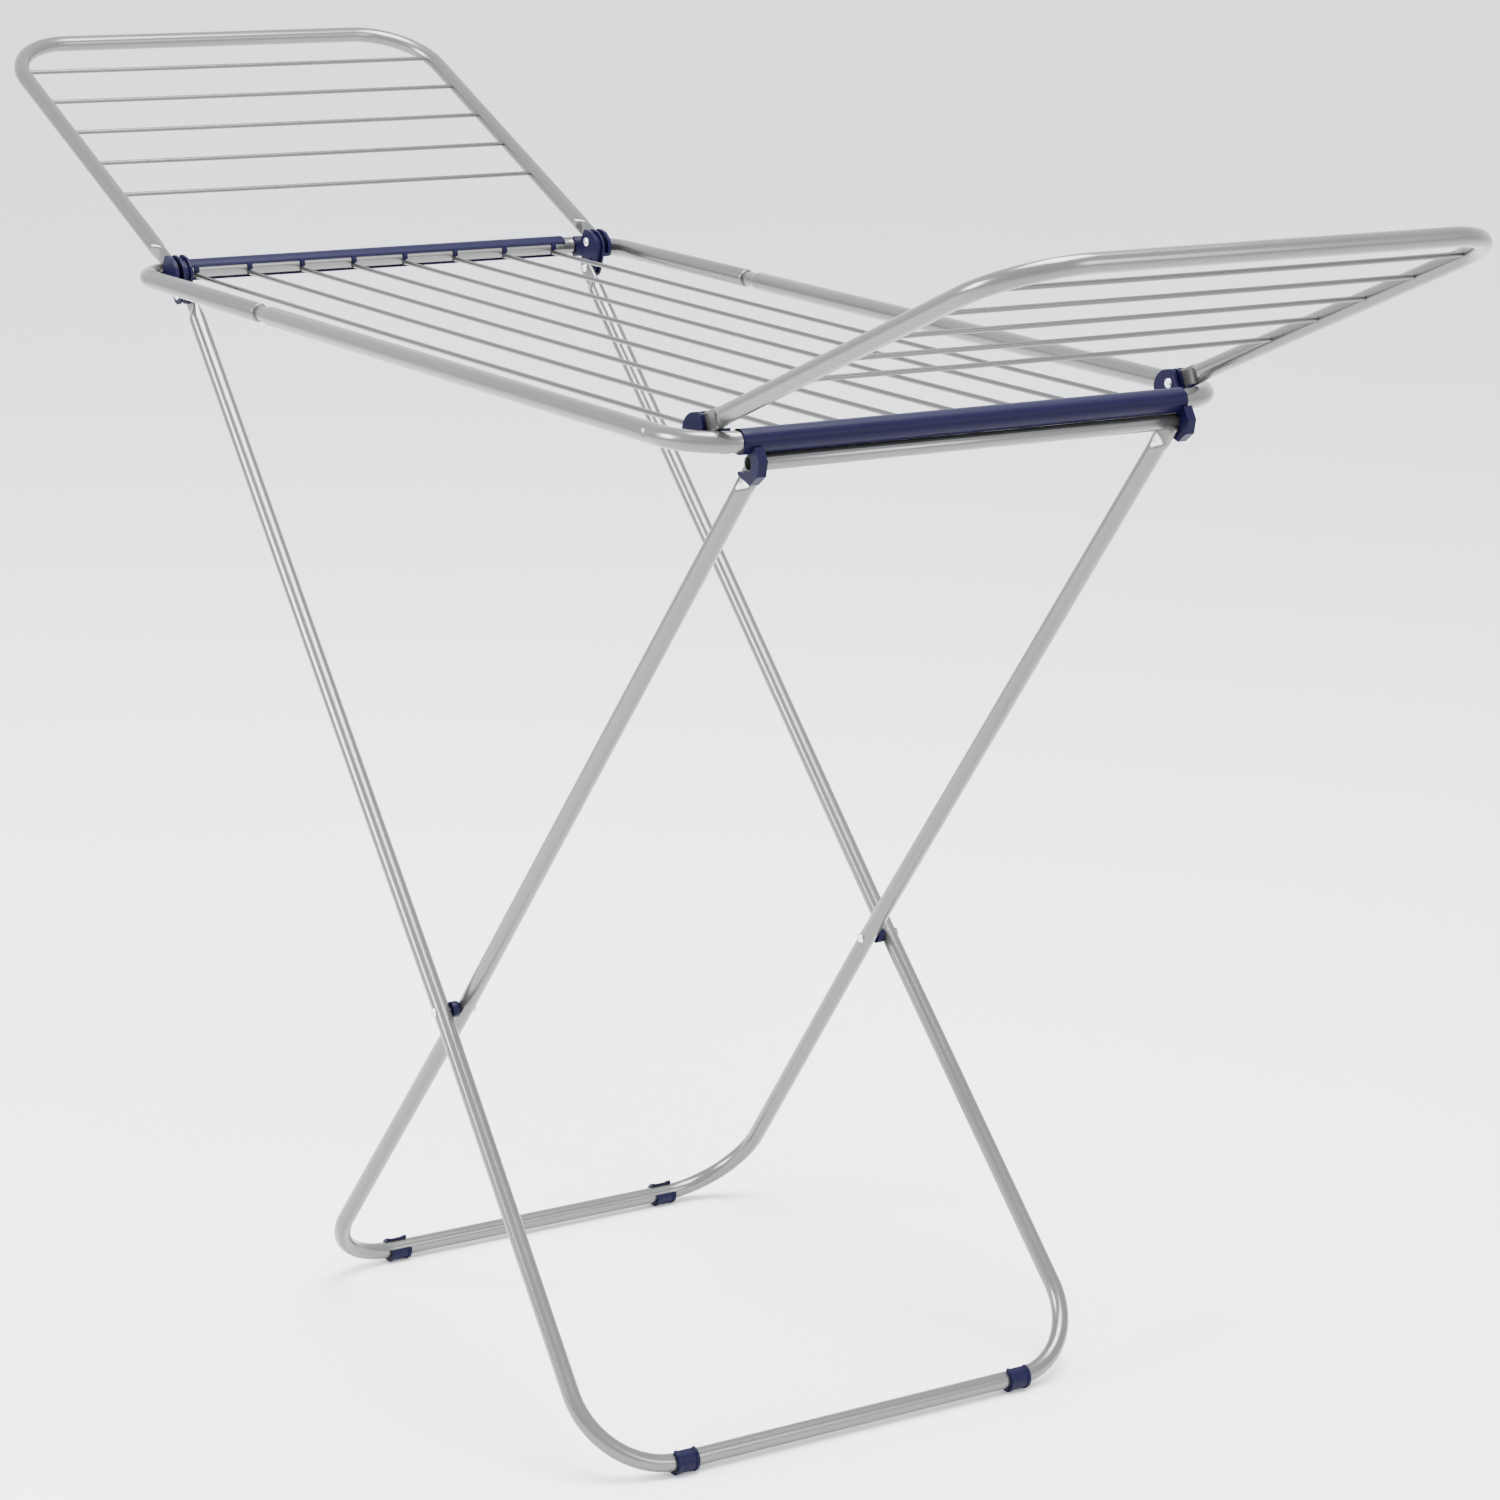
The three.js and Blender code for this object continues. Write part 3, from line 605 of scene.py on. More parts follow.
# ---------------------------------------------------------------- sizes
@dataclass(frozen=True)
class RackSizes:
    """Driving and derived sizes in millimetres, as in the part.

    An inset is measured inward from the centreline of the rail or the end bar, and a drop
    downward from it.
    """

    gap: float = 0.3
    end_x: float = 511.5
    rail_y: float = 271.0
    height: float = 941.0
    rack_r: float = 9.0
    corner_r: float = 50.0
    joint_x: float = -236.0
    neck_length: float = 22.0
    neck_r: float = 7.5
    wire_count: int = 8
    wire_inset: float = 65.9
    wire_drop: float = 5.0
    wire_r: float = 2.3
    pocket: float = 4.0
    cover_near_inset: float = 41.5
    cover_far_inset: float = 51.5
    cover_wall: float = 1.4
    moulding_wall: float = 2.7
    left_bracket_depth: float = 10.4
    right_bracket_depth: float = 7.7
    leg_r: float = 8.0
    leg_bend_r: float = 78.0
    leg_pivot_inset: float = 38.0
    leg_pivot_drop: float = 18.0
    outer_foot_x: float = 390.0
    outer_foot_inset: float = 4.1
    inner_foot_x: float = -178.0
    inner_foot_inset: float = 30.9
    inner_mid_inset: float = 47.3
    mid_gap: float = 8.6
    crossbar_r: float = 7.0
    crossbar_inset: float = 51.5
    crossbar_play: float = 0.5
    hook_width: float = 9.0
    hook_overhang: float = 3.0
    wing_r: float = 8.0
    wing_reach: float = 442.0
    wing_tilt: float = math.radians(24.0)
    wing_bend_r: float = 72.0
    wing_inset: float = 28.0
    wing_pivot_inset: float = 33.5
    wing_rest_gap: float = 3.9
    tab: float = 4.0
    tab_half: float = 9.0
    tab_taper: float = 16.0
    rivet_r: float = 2.5
    rivet_head_r: float = 4.5
    rivet_head_h: float = 2.0
    clip_length: float = 22.0
    clip_offset: float = 7.4

    @property
    def cover_r(self) -> float:
        """Outside radius of an end cover."""
        return self.rack_r + self.gap + self.cover_wall

    @property
    def cover_y(self) -> tuple[float, float]:
        """Near and far end of an end cover."""
        return self.cover_near_inset - self.rail_y, self.rail_y - self.cover_far_inset

    @property
    def crossbar_end_y(self) -> float:
        """Half length of the crossbar."""
        return self.rail_y - self.crossbar_inset

    @property
    def foot_z(self) -> float:
        """Height of a foot bar's centreline."""
        return self.leg_r + self.gap + self.moulding_wall

    @property
    def saddle_r(self) -> float:
        """Outside radius of a bracket's saddle."""
        return self.rack_r + self.gap + self.moulding_wall

    @property
    def wing_y(self) -> float:
        """Centreline of a wing's side tube."""
        return self.rail_y - self.wing_inset

    @property
    def slot_y(self) -> tuple[float, float]:
        """Faces of a bracket's slot for the wing, outward from the middle."""
        half = self.tab / 2 + self.gap
        return self.wing_y - half, self.wing_y + half

    def bracket_inner_y(self, end: End) -> float:
        """Inner face of a bracket, outward from the middle."""
        left = end is End.LEFT
        return self.slot_y[0] - (self.left_bracket_depth if left else self.right_bracket_depth)

    @property
    def leg_tab_y(self) -> float:
        """Inner face of an outer leg's flattened top."""
        return self.bracket_inner_y(End.LEFT) - self.gap - self.tab

    @property
    def leg_top_y(self) -> float:
        """Middle of an outer leg's flattened top."""
        return self.leg_tab_y + self.tab / 2

    def bend_shift(self, y: Array) -> Array:
        """How far the frame tube's corner has turned inboard at a distance y from the middle."""
        over = np.maximum(y - (self.rail_y - self.corner_r), 0)
        return self.corner_r - np.sqrt(self.corner_r**2 - over**2)

    @property
    def leg_pivot(self) -> tuple[float, float]:
        """Top pivot of the outer legs, (x, z)."""
        return self.leg_pivot_inset - self.end_x, self.height - self.leg_pivot_drop

    @property
    def crossbar(self) -> tuple[float, float]:
        """Centre of the crossbar, (x, z)."""
        return self.end_x, self.height - self.cover_r - self.crossbar_r - self.gap

    @property
    def mid_pivot(self) -> tuple[float, float]:
        """Where the two leg lines cross, (x, z)."""
        a, b = np.array(self.leg_pivot), np.array([self.outer_foot_x, self.foot_z])
        c, d = np.array(self.crossbar), np.array([self.inner_foot_x, self.foot_z])
        t = np.linalg.solve(np.stack([b - a, c - d], 1), c - a)[0]
        x, z = a + t * (b - a)
        return float(x), float(z)

    @property
    def hook_y(self) -> float:
        """Outer face of a hook."""
        return self.crossbar_end_y + self.hook_overhang

    @property
    def inner_mid_y(self) -> float:
        """Inner leg's centreline at the middle pivot."""
        return self.rail_y - self.inner_mid_inset

    @property
    def outer_mid_y(self) -> float:
        """Outer leg's centreline at the middle pivot."""
        return self.inner_mid_y + 2 * self.leg_r + self.mid_gap

    @property
    def wing_pivot(self) -> tuple[float, float]:
        """Pivot of the right wing, (x, z)."""
        back, tilt = self.wing_pivot_inset, self.wing_tilt
        rest = self.rack_r + self.wing_r + self.wing_rest_gap
        rise = (rest - back * math.sin(tilt)) / math.cos(tilt)
        return self.end_x - back, self.height + rise


SIZES = RackSizes()
UP = np.array([0.0, 0.0, 1.0])
ACROSS = np.array([0.0, 1.0, 0.0])
TUBE_POWER = 2.0
TAB_POWER = 5.0
WIRE_SIDES = 14


def rack_wire_y() -> Array:
    """Places of the rack's wires across the rack."""
    half = SIZES.rail_y - SIZES.wire_inset
    return np.linspace(-half, half, SIZES.wire_count)


# ---------------------------------------------------------------- tubes and wires
@dataclass
class Dimple:
    """A small round press mark in a tube's wall."""

    centre: Array
    radius: float = 3.2
    depth: float = 1.1

    def press(self, points: Array, inward: Array) -> Array:
        """Move points inward by depth * exp(-(d / radius)^2), d being their distance from it.

        Args:
            points: The surface points.
            inward: Direction to move them.

        Returns:
            The moved points.
        """
        d = np.linalg.norm(points - self.centre, axis=1)
        return points + inward * (self.depth * np.exp(-((d / self.radius) ** 2)))[:, None]


def filled(
    path: Array,
    spots: Sequence[float],
    reach: float = 9.0,
    step: float = 0.8,
    shortest_rail: float = 60.0,
) -> Array:
    """Path with close stations added round given values of x, on its straight rails.

    Args:
        path: The path.
        spots: Values of x.
        reach: Half width of the close stretch.
        step: Distance between added stations.
        shortest_rail: A chord no longer than this along x belongs to a bend and is left alone.

    Returns:
        The path with the added points, in order along it.
    """
    parts = [path[:1]]
    for a, b in zip(path[:-1], path[1:]):
        extra = np.concatenate([np.arange(s - reach, s + reach, step) for s in spots] or [[]])
        run = b[0] - a[0]
        if abs(run) > shortest_rail and len(extra):
            t = np.sort((extra - a[0]) / run)
            t = t[(t > 0) & (t < 1)]
            parts.append(a + (b - a) * t[:, None])
        parts.append(b[None])
    return np.concatenate(parts)


@dataclass
class RackFrame:
    """The two U-shaped frame tubes of the central rack and the wires between their end bars."""

    finishes: Finishes
    sizes: RackSizes = field(default_factory=RackSizes)
    sides: int = 32
    bend_steps: int = 18
    mark_x: float = 450.0
    wire_sag: float = 1.6

    def half(self, end: End) -> Shell:
        """One frame tube; the right one has its rail ends swaged down.

        Args:
            end: Which half.

        Returns:
            The tube.
        """
        z = self.sizes
        sign = end.value
        start = z.joint_x if end is End.LEFT else z.joint_x + z.gap + z.neck_length
        corners = np.array(
            [
                [start, -z.rail_y, z.height],
                [sign * z.end_x, -z.rail_y, z.height],
                [sign * z.end_x, z.rail_y, z.height],
                [start, z.rail_y, z.height],
            ]
        )
        path = rounded_corners(corners, [z.corner_r, z.corner_r], self.bend_steps)
        marks = [self.mark_x] if end is End.RIGHT else []
        path = filled(path, marks)
        # stations at a rail's end: distance along the rail from its start, and radius there
        if end is End.RIGHT:
            back = np.array([-z.neck_length, -z.neck_length + 0.8, -8.2, -6.0, -3.0, -0.8])
            radii = np.array([z.neck_r - 0.5, z.neck_r, z.neck_r, z.neck_r + 0.12, 8.25, 8.86])
        else:
            back, radii = np.array([0.0, -0.35, -1.1]), np.array([8.35, 8.8, 9.0])
        extra = np.zeros((len(back), 3))
        extra[:, 0] = start + back
        extra[:, 2] = z.height
        near, far = extra.copy(), extra[::-1].copy()
        near[:, 1], far[:, 1] = -z.rail_y, z.rail_y
        body = path if end is End.RIGHT else path[1:-1]
        path = np.concatenate([near, body, far])
        r = np.concatenate([radii, np.full(len(body), z.rack_r), radii[::-1]])
        shell = swept(path, UP, np.stack([r, r], 1), TUBE_POWER, self.sides)
        for x in marks:
            for y in (-1, 1):
                # on the rail's outer face, a little above its middle
                spot = np.array([x, y * (z.rail_y + z.rack_r * 0.94), z.height + 2.2])
                inward = unit(np.array([0.0, -y, -0.25]))
                shell.points = Dimple(spot).press(shell.points, inward)
        return shell

    def wire(self, y: float) -> Shell:
        """One rack wire from end bar to end bar, hanging a little in the middle.

        The centreline is z = z0 - sag (1 - (x / half)^2).

        Args:
            y: Place across the rack.

        Returns:
            The wire.
        """
        z = self.sizes
        half = z.end_x - math.sqrt(z.rack_r**2 - z.wire_drop**2) + z.pocket
        x = np.linspace(-half, half, 41)
        drop = self.wire_sag * (1 - (x / half) ** 2)
        path = np.stack([x, np.full_like(x, y), z.height - z.wire_drop - drop], 1)
        return swept(path, ACROSS, np.full((len(x), 2), z.wire_r), TUBE_POWER, WIRE_SIDES)

    def build(self) -> None:
        """Make the frame tubes and the wires."""
        for end in End:
            publish(f"rack_frame_{end.word}", self.half(end), "rack", Slot.TUBE, self.finishes)
        for i, y in enumerate(rack_wire_y(), start=1):
            publish(f"rack_wire_{i}", self.wire(float(y)), "rack", Slot.WIRE, self.finishes)


def tabbed(
    path: Array, normal: Array, radius: float, tab_length: float, half: float, round_tip: bool
) -> Shell:
    """U tube whose two ends are pressed flat; the path starts and ends at the pivots.

    Along the taper the half sizes follow the smooth step 3 t^2 - 2 t^3 from tab to tube, and the
    section's power falls from the tab's, nearly a rectangle, to the tube's, a circle.

    Args:
        path: The path with its bends.
        normal: Normal of the path's plane.
        radius: Tube radius.
        tab_length: Length of the flat from the pivot.
        half: Half width of the flat.
        round_tip: True for a tip rounded about the pivot.

    Returns:
        The tube.
    """
    thin = SIZES.tab / 2
    # rows of stations: distance from the pivot, half width, half thickness, power
    rows = []
    if round_tip:
        a = np.radians(np.linspace(-86, -8, 9))
        flat, square = np.full(len(a), thin), np.full(len(a), TAB_POWER)
        rows.append(np.stack([half * np.sin(a), half * np.cos(a), flat, square], 1))
    else:
        rows.append(np.array([[0.0, half - 0.5, thin - 0.4, TAB_POWER]]))
    rows.append(np.array([[at, half, thin, TAB_POWER] for at in (0.6, tab_length * 0.55)]))
    t = np.linspace(0, 1, 12)
    ease = t * t * (3 - 2 * t)
    wide, slim = half + (radius - half) * ease, thin + (radius - thin) * ease
    power = TAB_POWER - (TAB_POWER - TUBE_POWER) * np.sqrt(ease)
    rows.append(np.stack([tab_length + SIZES.tab_taper * t, wide, slim, power], 1))
    marks = np.concatenate(rows)
    start, end = unit(path[1] - path[0]), unit(path[-2] - path[-1])
    stations = np.concatenate(
        [path[0] + start * marks[:, :1], path[1:-1], (path[-1] + end * marks[:, :1])[::-1]]
    )
    middle = np.tile([radius, radius], (len(path) - 2, 1))
    sizes = np.concatenate([marks[:, 1:3], middle, marks[::-1, 1:3]])
    power = np.concatenate([marks[:, 3], np.full(len(middle), TUBE_POWER), marks[::-1, 3]])
    return swept(stations, normal, sizes, power, 32)


@dataclass
class Wing:
    """One raised wing: a U tube with flattened ends and its wires."""

    end: End
    finishes: Finishes
    sizes: RackSizes = field(default_factory=RackSizes)
    wire_count: int = 5
    wire_pitch: float = 61.5
    wire_inset: float = 57.0
    wire_sag: float = 0.5
    tab_length: float = 24.0

    def at(self, reach: float, y: float) -> Array:
        """Point of the wing's plane at a distance from the pivot."""
        px, pz = self.sizes.wing_pivot
        c, s = math.cos(self.sizes.wing_tilt), math.sin(self.sizes.wing_tilt)
        return np.array([self.end.value * (px + reach * c), y, pz + reach * s])

    def normal(self) -> Array:
        """Upper normal of the wing's plane."""
        t = self.sizes.wing_tilt
        return np.array([-self.end.value * math.sin(t), 0.0, math.cos(t)])

    def tube(self) -> Shell:
        """The U tube."""
        z = self.sizes
        reach, y = z.wing_reach, z.wing_y
        corners = [(0, -y), (reach, -y), (reach, y), (0, y)]
        path = rounded_corners(np.array([self.at(*c) for c in corners]), [z.wing_bend_r] * 2, 24)
        return tabbed(path, self.normal(), z.wing_r, self.tab_length, z.tab_half, True)

    def wire(self, reach: float) -> Shell:
        """One wire across the wing, its length set by the tube's inner face there.

        Args:
            reach: Distance from the pivot.

        Returns:
            The wire.
        """
        z = self.sizes
        corner = max(reach - (z.wing_reach - z.wing_bend_r), 0.0)
        side = z.wing_y - z.wing_bend_r + math.sqrt(z.wing_bend_r**2 - corner**2)
        half = side - z.wing_r + z.pocket
        y = np.linspace(-half, half, 21)
        sag = self.normal()[None] * (-self.wire_sag * (1 - (y / half) ** 2))[:, None]
        path = np.array([self.at(reach, 0.0)]) + np.stack([y * 0, y, y * 0], 1) + sag
        across = self.at(1.0, 0.0) - self.at(0.0, 0.0)
        return swept(path, unit(across), np.full((len(y), 2), z.wire_r), TUBE_POWER, WIRE_SIDES)

    def build(self) -> None:
        """Make the tube and its wires."""
        word = self.end.word
        body = f"wing_{word}"
        publish(f"wing_{word}_tube", self.tube(), body, Slot.TUBE, self.finishes)
        for i in range(self.wire_count):
            reach = self.sizes.wing_reach - self.wire_inset - i * self.wire_pitch
            publish(f"wing_{word}_wire_{i + 1}", self.wire(reach), body, Slot.WIRE, self.finishes)


@dataclass
class LegFrames:
    """The outer and inner leg frames, the crossbar, and the fittings where they cross."""

    finishes: Finishes
    sizes: RackSizes = field(default_factory=RackSizes)
    outer_tab_length: float = 14.0
    inner_tab_length: float = 17.0
    inner_tab_half: float = 10.5

    def path(
        self, top: tuple[float, float, float], mid_y: float, foot: tuple[float, float]
    ) -> Array:
        """Path of a leg frame from one top to the other.

        Args:
            top: (x, y, z) of the far top end.
            mid_y: Half width at the middle pivot.
            foot: (x, y) of the far foot corner.

        Returns:
            The path, bent at the foot corners.
        """
        z = self.sizes
        mx, mz = z.mid_pivot
        far = np.array([top, (mx, mid_y, mz), (*foot, z.foot_z)])
        corners = np.concatenate([far * [1, -1, 1], far[::-1]])
        return rounded_corners(corners, [0, z.leg_bend_r, z.leg_bend_r, 0], 24)

    def plane_normal(self, top: tuple[float, float], foot: tuple[float, float]) -> Array:
        """Normal of a leg frame's slanted plane."""
        u = unit(np.array([foot[0] - top[0], 0.0, foot[1] - top[1]]))
        return np.array([-u[2], 0.0, u[0]])

    def build(self) -> None:
        """Make both frames, the crossbar and the spacers."""
        z = self.sizes
        px, pz = z.leg_pivot
        foot = (z.outer_foot_x, z.rail_y - z.outer_foot_inset)
        outer = self.path((px, z.leg_top_y, pz), z.outer_mid_y, foot)
        normal = self.plane_normal(z.leg_pivot, (z.outer_foot_x, z.foot_z))
        tube = tabbed(outer, normal, z.leg_r, self.outer_tab_length, z.tab_half, True)
        publish("leg_frame_outer", tube, "outer_legs", Slot.TUBE, self.finishes)
        cx, cz = z.crossbar
        top_y = z.hook_y - z.hook_width - z.crossbar_play - z.tab / 2
        foot = (z.inner_foot_x, z.rail_y - z.inner_foot_inset)
        inner = self.path((cx, top_y, cz), z.inner_mid_y, foot)
        normal = self.plane_normal(z.crossbar, (z.inner_foot_x, z.foot_z))
        tube = tabbed(inner, normal, z.leg_r, self.inner_tab_length, self.inner_tab_half, False)
        publish("leg_frame_inner", tube, "inner_legs", Slot.TUBE, self.finishes)
        self.crossbar()
        self.spacers()

    def crossbar(self) -> None:
        """The crossbar, a plain tube with slightly rounded open ends."""
        z = self.sizes
        cx, cz = z.crossbar
        e, r = z.crossbar_end_y, z.crossbar_r
        # radius and depth from the end: the bore's floor, the bore, and the rounded rim
        profile = [(r - 1.2, 6.0), (r - 1.2, 0.4), (r - 0.8, 0.0), (r - 0.25, 0.0), (r, 0.4)]
        near = np.array([[a, -e + h] for a, h in profile])
        far = np.array([[a, e - h] for a, h in profile[::-1]])
        shell = turned(np.concatenate([near, far]), np.array([cx, 0.0, cz]), ACROSS, 32)
        publish("leg_crossbar", shell, "inner_legs", Slot.TUBE, self.finishes)

    def spacers(self) -> None:
        """The moulded collars between the legs at the middle pivots."""
        z = self.sizes
        mx, mz = z.mid_pivot
        for side in Side:
            y0, y1 = side.span(z.inner_mid_y + z.leg_r + z.gap, z.outer_mid_y - z.leg_r - z.gap)
            length = y1 - y0
            # radius and height, with a softened rim at each end
            profile = np.array(
                [[2.9, 0], [6.6, 0], [7.2, 0.3], [7.5, 0.9]]
                + [[7.5, length - 0.9], [7.2, length - 0.3], [6.6, length], [2.9, length]]
            )
            shell = turned(profile, np.array([mx, y0, mz]), ACROSS)
            publish(f"pivot_spacer_{side.word}", shell, "outer_legs", Slot.PLASTIC, self.finishes)


@dataclass
class FootClips:
    """C-shaped clips snapped over the foot bars."""

    finishes: Finishes
    sizes: RackSizes = field(default_factory=RackSizes)
    rim_height: float = 0.9
    rim_width: float = 3.2
    rim_overlap: float = 1.5
    mouth_half: float = 38.0
    outer_mouth: float = 125.0
    inner_mouth: float = 55.0

    def clip(self, x: float, y: float, mouth: float) -> Shell:
        """One clip: an open ring with a flat sole and a raised rim at each end.

        Args:
            x: Place of the foot bar.
            y: Middle of the clip.
            mouth: Direction of the opening, in degrees from +X towards +Z.

        Returns:
            The clip.
        """
        z = self.sizes
        inner = z.leg_r + z.gap
        half = z.clip_length / 2

        def ring(outer: float, y0: float, y1: float) -> Shell:
            """An open ring of one outside radius, cut flat at the floor."""
            start, stop = mouth + self.mouth_half, mouth + 360 - self.mouth_half
            line = band(x, z.foot_z, inner, outer, start, stop, 48)
            line[:, 1] = np.maximum(line[:, 1], 0.0)
            return plate(line, y0, y1)

        rim = z.foot_z + 0.6
        middle = half - self.rim_overlap
        return Shell.joined(
            [
                ring(rim - self.rim_height, y - middle, y + middle),
                ring(rim, y - half, y - half + self.rim_width),
                ring(rim, y + half - self.rim_width, y + half),
            ]
        )

    def build(self) -> None:
        """Make the four clips."""
        z = self.sizes
        for side in Side:
            feet = (
                ("outer", z.outer_foot_x, z.outer_foot_inset, self.outer_mouth),
                ("inner", z.inner_foot_x, z.inner_foot_inset, self.inner_mouth),
            )
            for word, x, foot_inset, mouth in feet:
                y = side.value * (z.rail_y - foot_inset - z.leg_bend_r - z.clip_offset)
                shell = self.clip(x, y, mouth)
                name = f"foot_clip_{word}_{side.word}"
                publish(name, shell, f"{word}_legs", Slot.PLASTIC, self.finishes, Edges(0.45))


# ---------------------------------------------------------------- mouldings
@dataclass
class EndCover:
    """The C-section cover snapped over an end bar, with a finger over each wire.

    Angles are in degrees about the end bar, from straight out of the rack towards the top.
    """

    end: End
    finishes: Finishes
    sizes: RackSizes = field(default_factory=RackSizes)
    lip_angle: float = -118.0
    top_angle: float = 157.0
    finger_root: float = 149.0
    finger_tip: float = 192.0
    finger_half: float = 2.5

    def flip(self, line: Array) -> Array:
        """Outline drawn for the right end, turned to this end."""
        return line * [self.end.value, 1]

    def shell(self) -> list[Shell]:
        """The C-section and its fingers."""
        z = self.sizes
        inner, outer = z.rack_r + z.gap, z.cover_r
        near, far = z.cover_y
        bend = z.corner_r - z.rail_y
        y = np.concatenate([np.linspace(near, bend, 5), [far]])
        line = self.flip(
            band(z.end_x, z.height, inner, outer, self.lip_angle, self.top_angle, 64)
        )
        finger = self.flip(
            band(z.end_x, z.height, inner, outer, self.finger_root, self.finger_tip, 16)
        )
        half = self.finger_half
        fingers = [plate(finger, wire - half, wire + half) for wire in rack_wire_y().tolist()]
        return [prism(line, y, -self.end.value * z.bend_shift(-y)), *fingers]

    def hook(self, side: Side) -> Shell:
        """An open J-hook under the right cover that holds the crossbar.

        Args:
            side: Near or far.

        Returns:
            The hook.
        """
        z = self.sizes
        x, h = z.crossbar
        seat = z.crossbar_r + z.crossbar_play
        # under the cover, down the back of the seat, round it, and back along the outside
        top = arc(x, z.height, z.rack_r + z.gap + 0.2, -50, -104, 8)
        seat_arc = arc(x, h, seat, 90, -90, 18)
        outline = np.concatenate(
            [
                [[x + 12, z.height - 3]],
                top,
                [[x - 2, h + seat + 0.9]],
                [[x - 2, h + seat]],
                seat_arc,
                [[x - 8, h - seat - 0.6], [x - 11.5, h - seat - 0.8], [x - 10.5, h - seat - 4]],
                [[x + 6.5, h - seat - 9.5], [x + 17, h - 8.5], [x + 19, h + 4]],
            ]
        )
        y0, y1 = side.span(z.hook_y - z.hook_width, z.hook_y)
        return plate(outline, y0, y1)

    def build(self) -> None:
        """Make the cover."""
        parts = self.shell()
        if self.end is End.RIGHT:
            parts += [self.hook(side) for side in Side]
        name = f"end_cover_{self.end.word}"
        publish(name, Shell.joined(parts), "rack", Slot.PLASTIC, self.finishes, Edges(0.35, 2))


@dataclass
class Bracket:
    """Corner bracket: a saddle behind the frame tube with a raised clevis for the wing.

    The inner leaf is moulded as two faces with a smaller web between them. On the left it also
    has a lower lobe, where the outer leg is riveted on.
    """

    end: End
    side: Side
    finishes: Finishes
    sizes: RackSizes = field(default_factory=RackSizes)
    face: float = 2.6
    outer_leaf: float = 3.6
    web_recess: float = 3.0
    wing_play: float = 0.8

    def saddle(self) -> Shell:
        """Part sleeve that follows the frame tube's corner."""
        z = self.sizes
        y = np.linspace(z.bracket_inner_y(self.end), z.slot_y[0], 9)
        shift = -self.end.value * z.bend_shift(y)
        if self.side is Side.NEAR:
            y, shift = -y[::-1], shift[::-1]
        line = band(z.end_x, z.height, z.rack_r + 0.1, z.saddle_r, 118, 242, 30)
        return prism(line * [self.end.value, 1], y, shift)

    def outline(self, at: float, lobed: bool) -> Array:
        """Outline of a leaf, drawn for the right end.

        Args:
            at: Distance from the middle, which sets where the tube's surface is.
            lobed: True for the leaf with the lower lobe.

        Returns:
            The corner points, closed against the tube.
        """
        z = self.sizes
        px, pz = z.wing_pivot
        # corner points from the wing's pivot, over the top and down the inboard side
        ear = [(11, 1), (5.5, 12.4), (0, 12.5), (-9.5, 10.5), (-17, 4.5), (-20.5, -4), (-18, -14)]
        points = [(px + a, pz + b) for a, b in ear]
        if lobed:
            lx, lz = -z.leg_pivot[0], z.leg_pivot[1]
            # corner points from the leg's pivot, round its underside
            lobe = [(-10, 0), (-7, -7), (0, -10), (7, -7), (10, 0)]
            points += [(lx + a, lz + b) for a, b in lobe] + [(px + 11, pz - 14)]
        shift = float(z.bend_shift(np.array([at]))[0])
        points.append((px + 18 - shift, pz - 14))
        seat = arc(z.end_x - shift, z.height, z.rack_r + 0.3, 218, 162, 6)
        return np.concatenate([points, seat, [(px + 17 - shift, pz - 5)]])

    def leaf(self, line: Array, inner: float, outer: float) -> Shell:
        """Plate of one outline between two distances from the middle."""
        return plate(line * [self.end.value, 1], *self.side.span(inner, outer))

    def build(self) -> None:
        """Make the bracket."""
        z = self.sizes
        y0, y1 = z.bracket_inner_y(self.end), z.slot_y[0]
        lobed = self.end is End.LEFT
        parts = [self.saddle()]
        for a, b in ((y0, y0 + self.face), (y1 - self.face, y1)):
            parts.append(self.leaf(softened(self.outline((a + b) / 2, lobed), 3.4), a, b))
        web = softened(inset(self.outline((y0 + y1) / 2, lobed), self.web_recess), 1.5)
        parts.append(self.leaf(web, y0 + 1.0, y1 - 1.0))
        y2 = z.slot_y[1]
        y3 = y2 + self.outer_leaf
        parts.append(self.leaf(softened(self.outline((y2 + y3) / 2, False), 3.4), y2, y3))
        px, pz = z.wing_pivot
        floor = pz - z.tab_half - self.wing_play
        shift = float(z.bend_shift(np.array([z.wing_y]))[0])
        right, foot = px + 17 - shift, pz - 13.6
        base = np.array([(px - 17.5, foot), (px - 18.5, floor), (right, floor), (right, foot)])
        parts.append(self.leaf(base, y1 - 1.0, y2 + 1.0))
        name = f"bracket_{self.end.word}_{self.side.word}"
        publish(name, Shell.joined(parts), "rack", Slot.PLASTIC, self.finishes, Edges(0.6))


def softened(outline: Array, radius: float, steps: int = 4) -> Array:
    """Closed outline with its corners rounded by quadratic arcs.

    A corner p between neighbours a and b becomes (1-t)^2 s + 2 t (1-t) p + t^2 e, where s and e lie
    a radius, or at most 45% of the side, from p towards a and b.

    Args:
        outline: Corner points.
        radius: How far from the corner the arc starts.
        steps: Chords in each arc.

    Returns:
        The rounded outline.
    """
    before = np.roll(outline, 1, axis=0) - outline
    after = np.roll(outline, -1, axis=0) - outline
    lb, la = (np.linalg.norm(v, axis=1, keepdims=True) for v in (before, after))
    s = outline + before / lb * np.minimum(radius, 0.45 * lb)
    e = outline + after / la * np.minimum(radius, 0.45 * la)
    t = np.linspace(0, 1, steps + 1)[None, :, None]
    curve = (1 - t) ** 2 * s[:, None] + 2 * t * (1 - t) * outline[:, None] + t**2 * e[:, None]
    return curve.reshape(-1, 2)


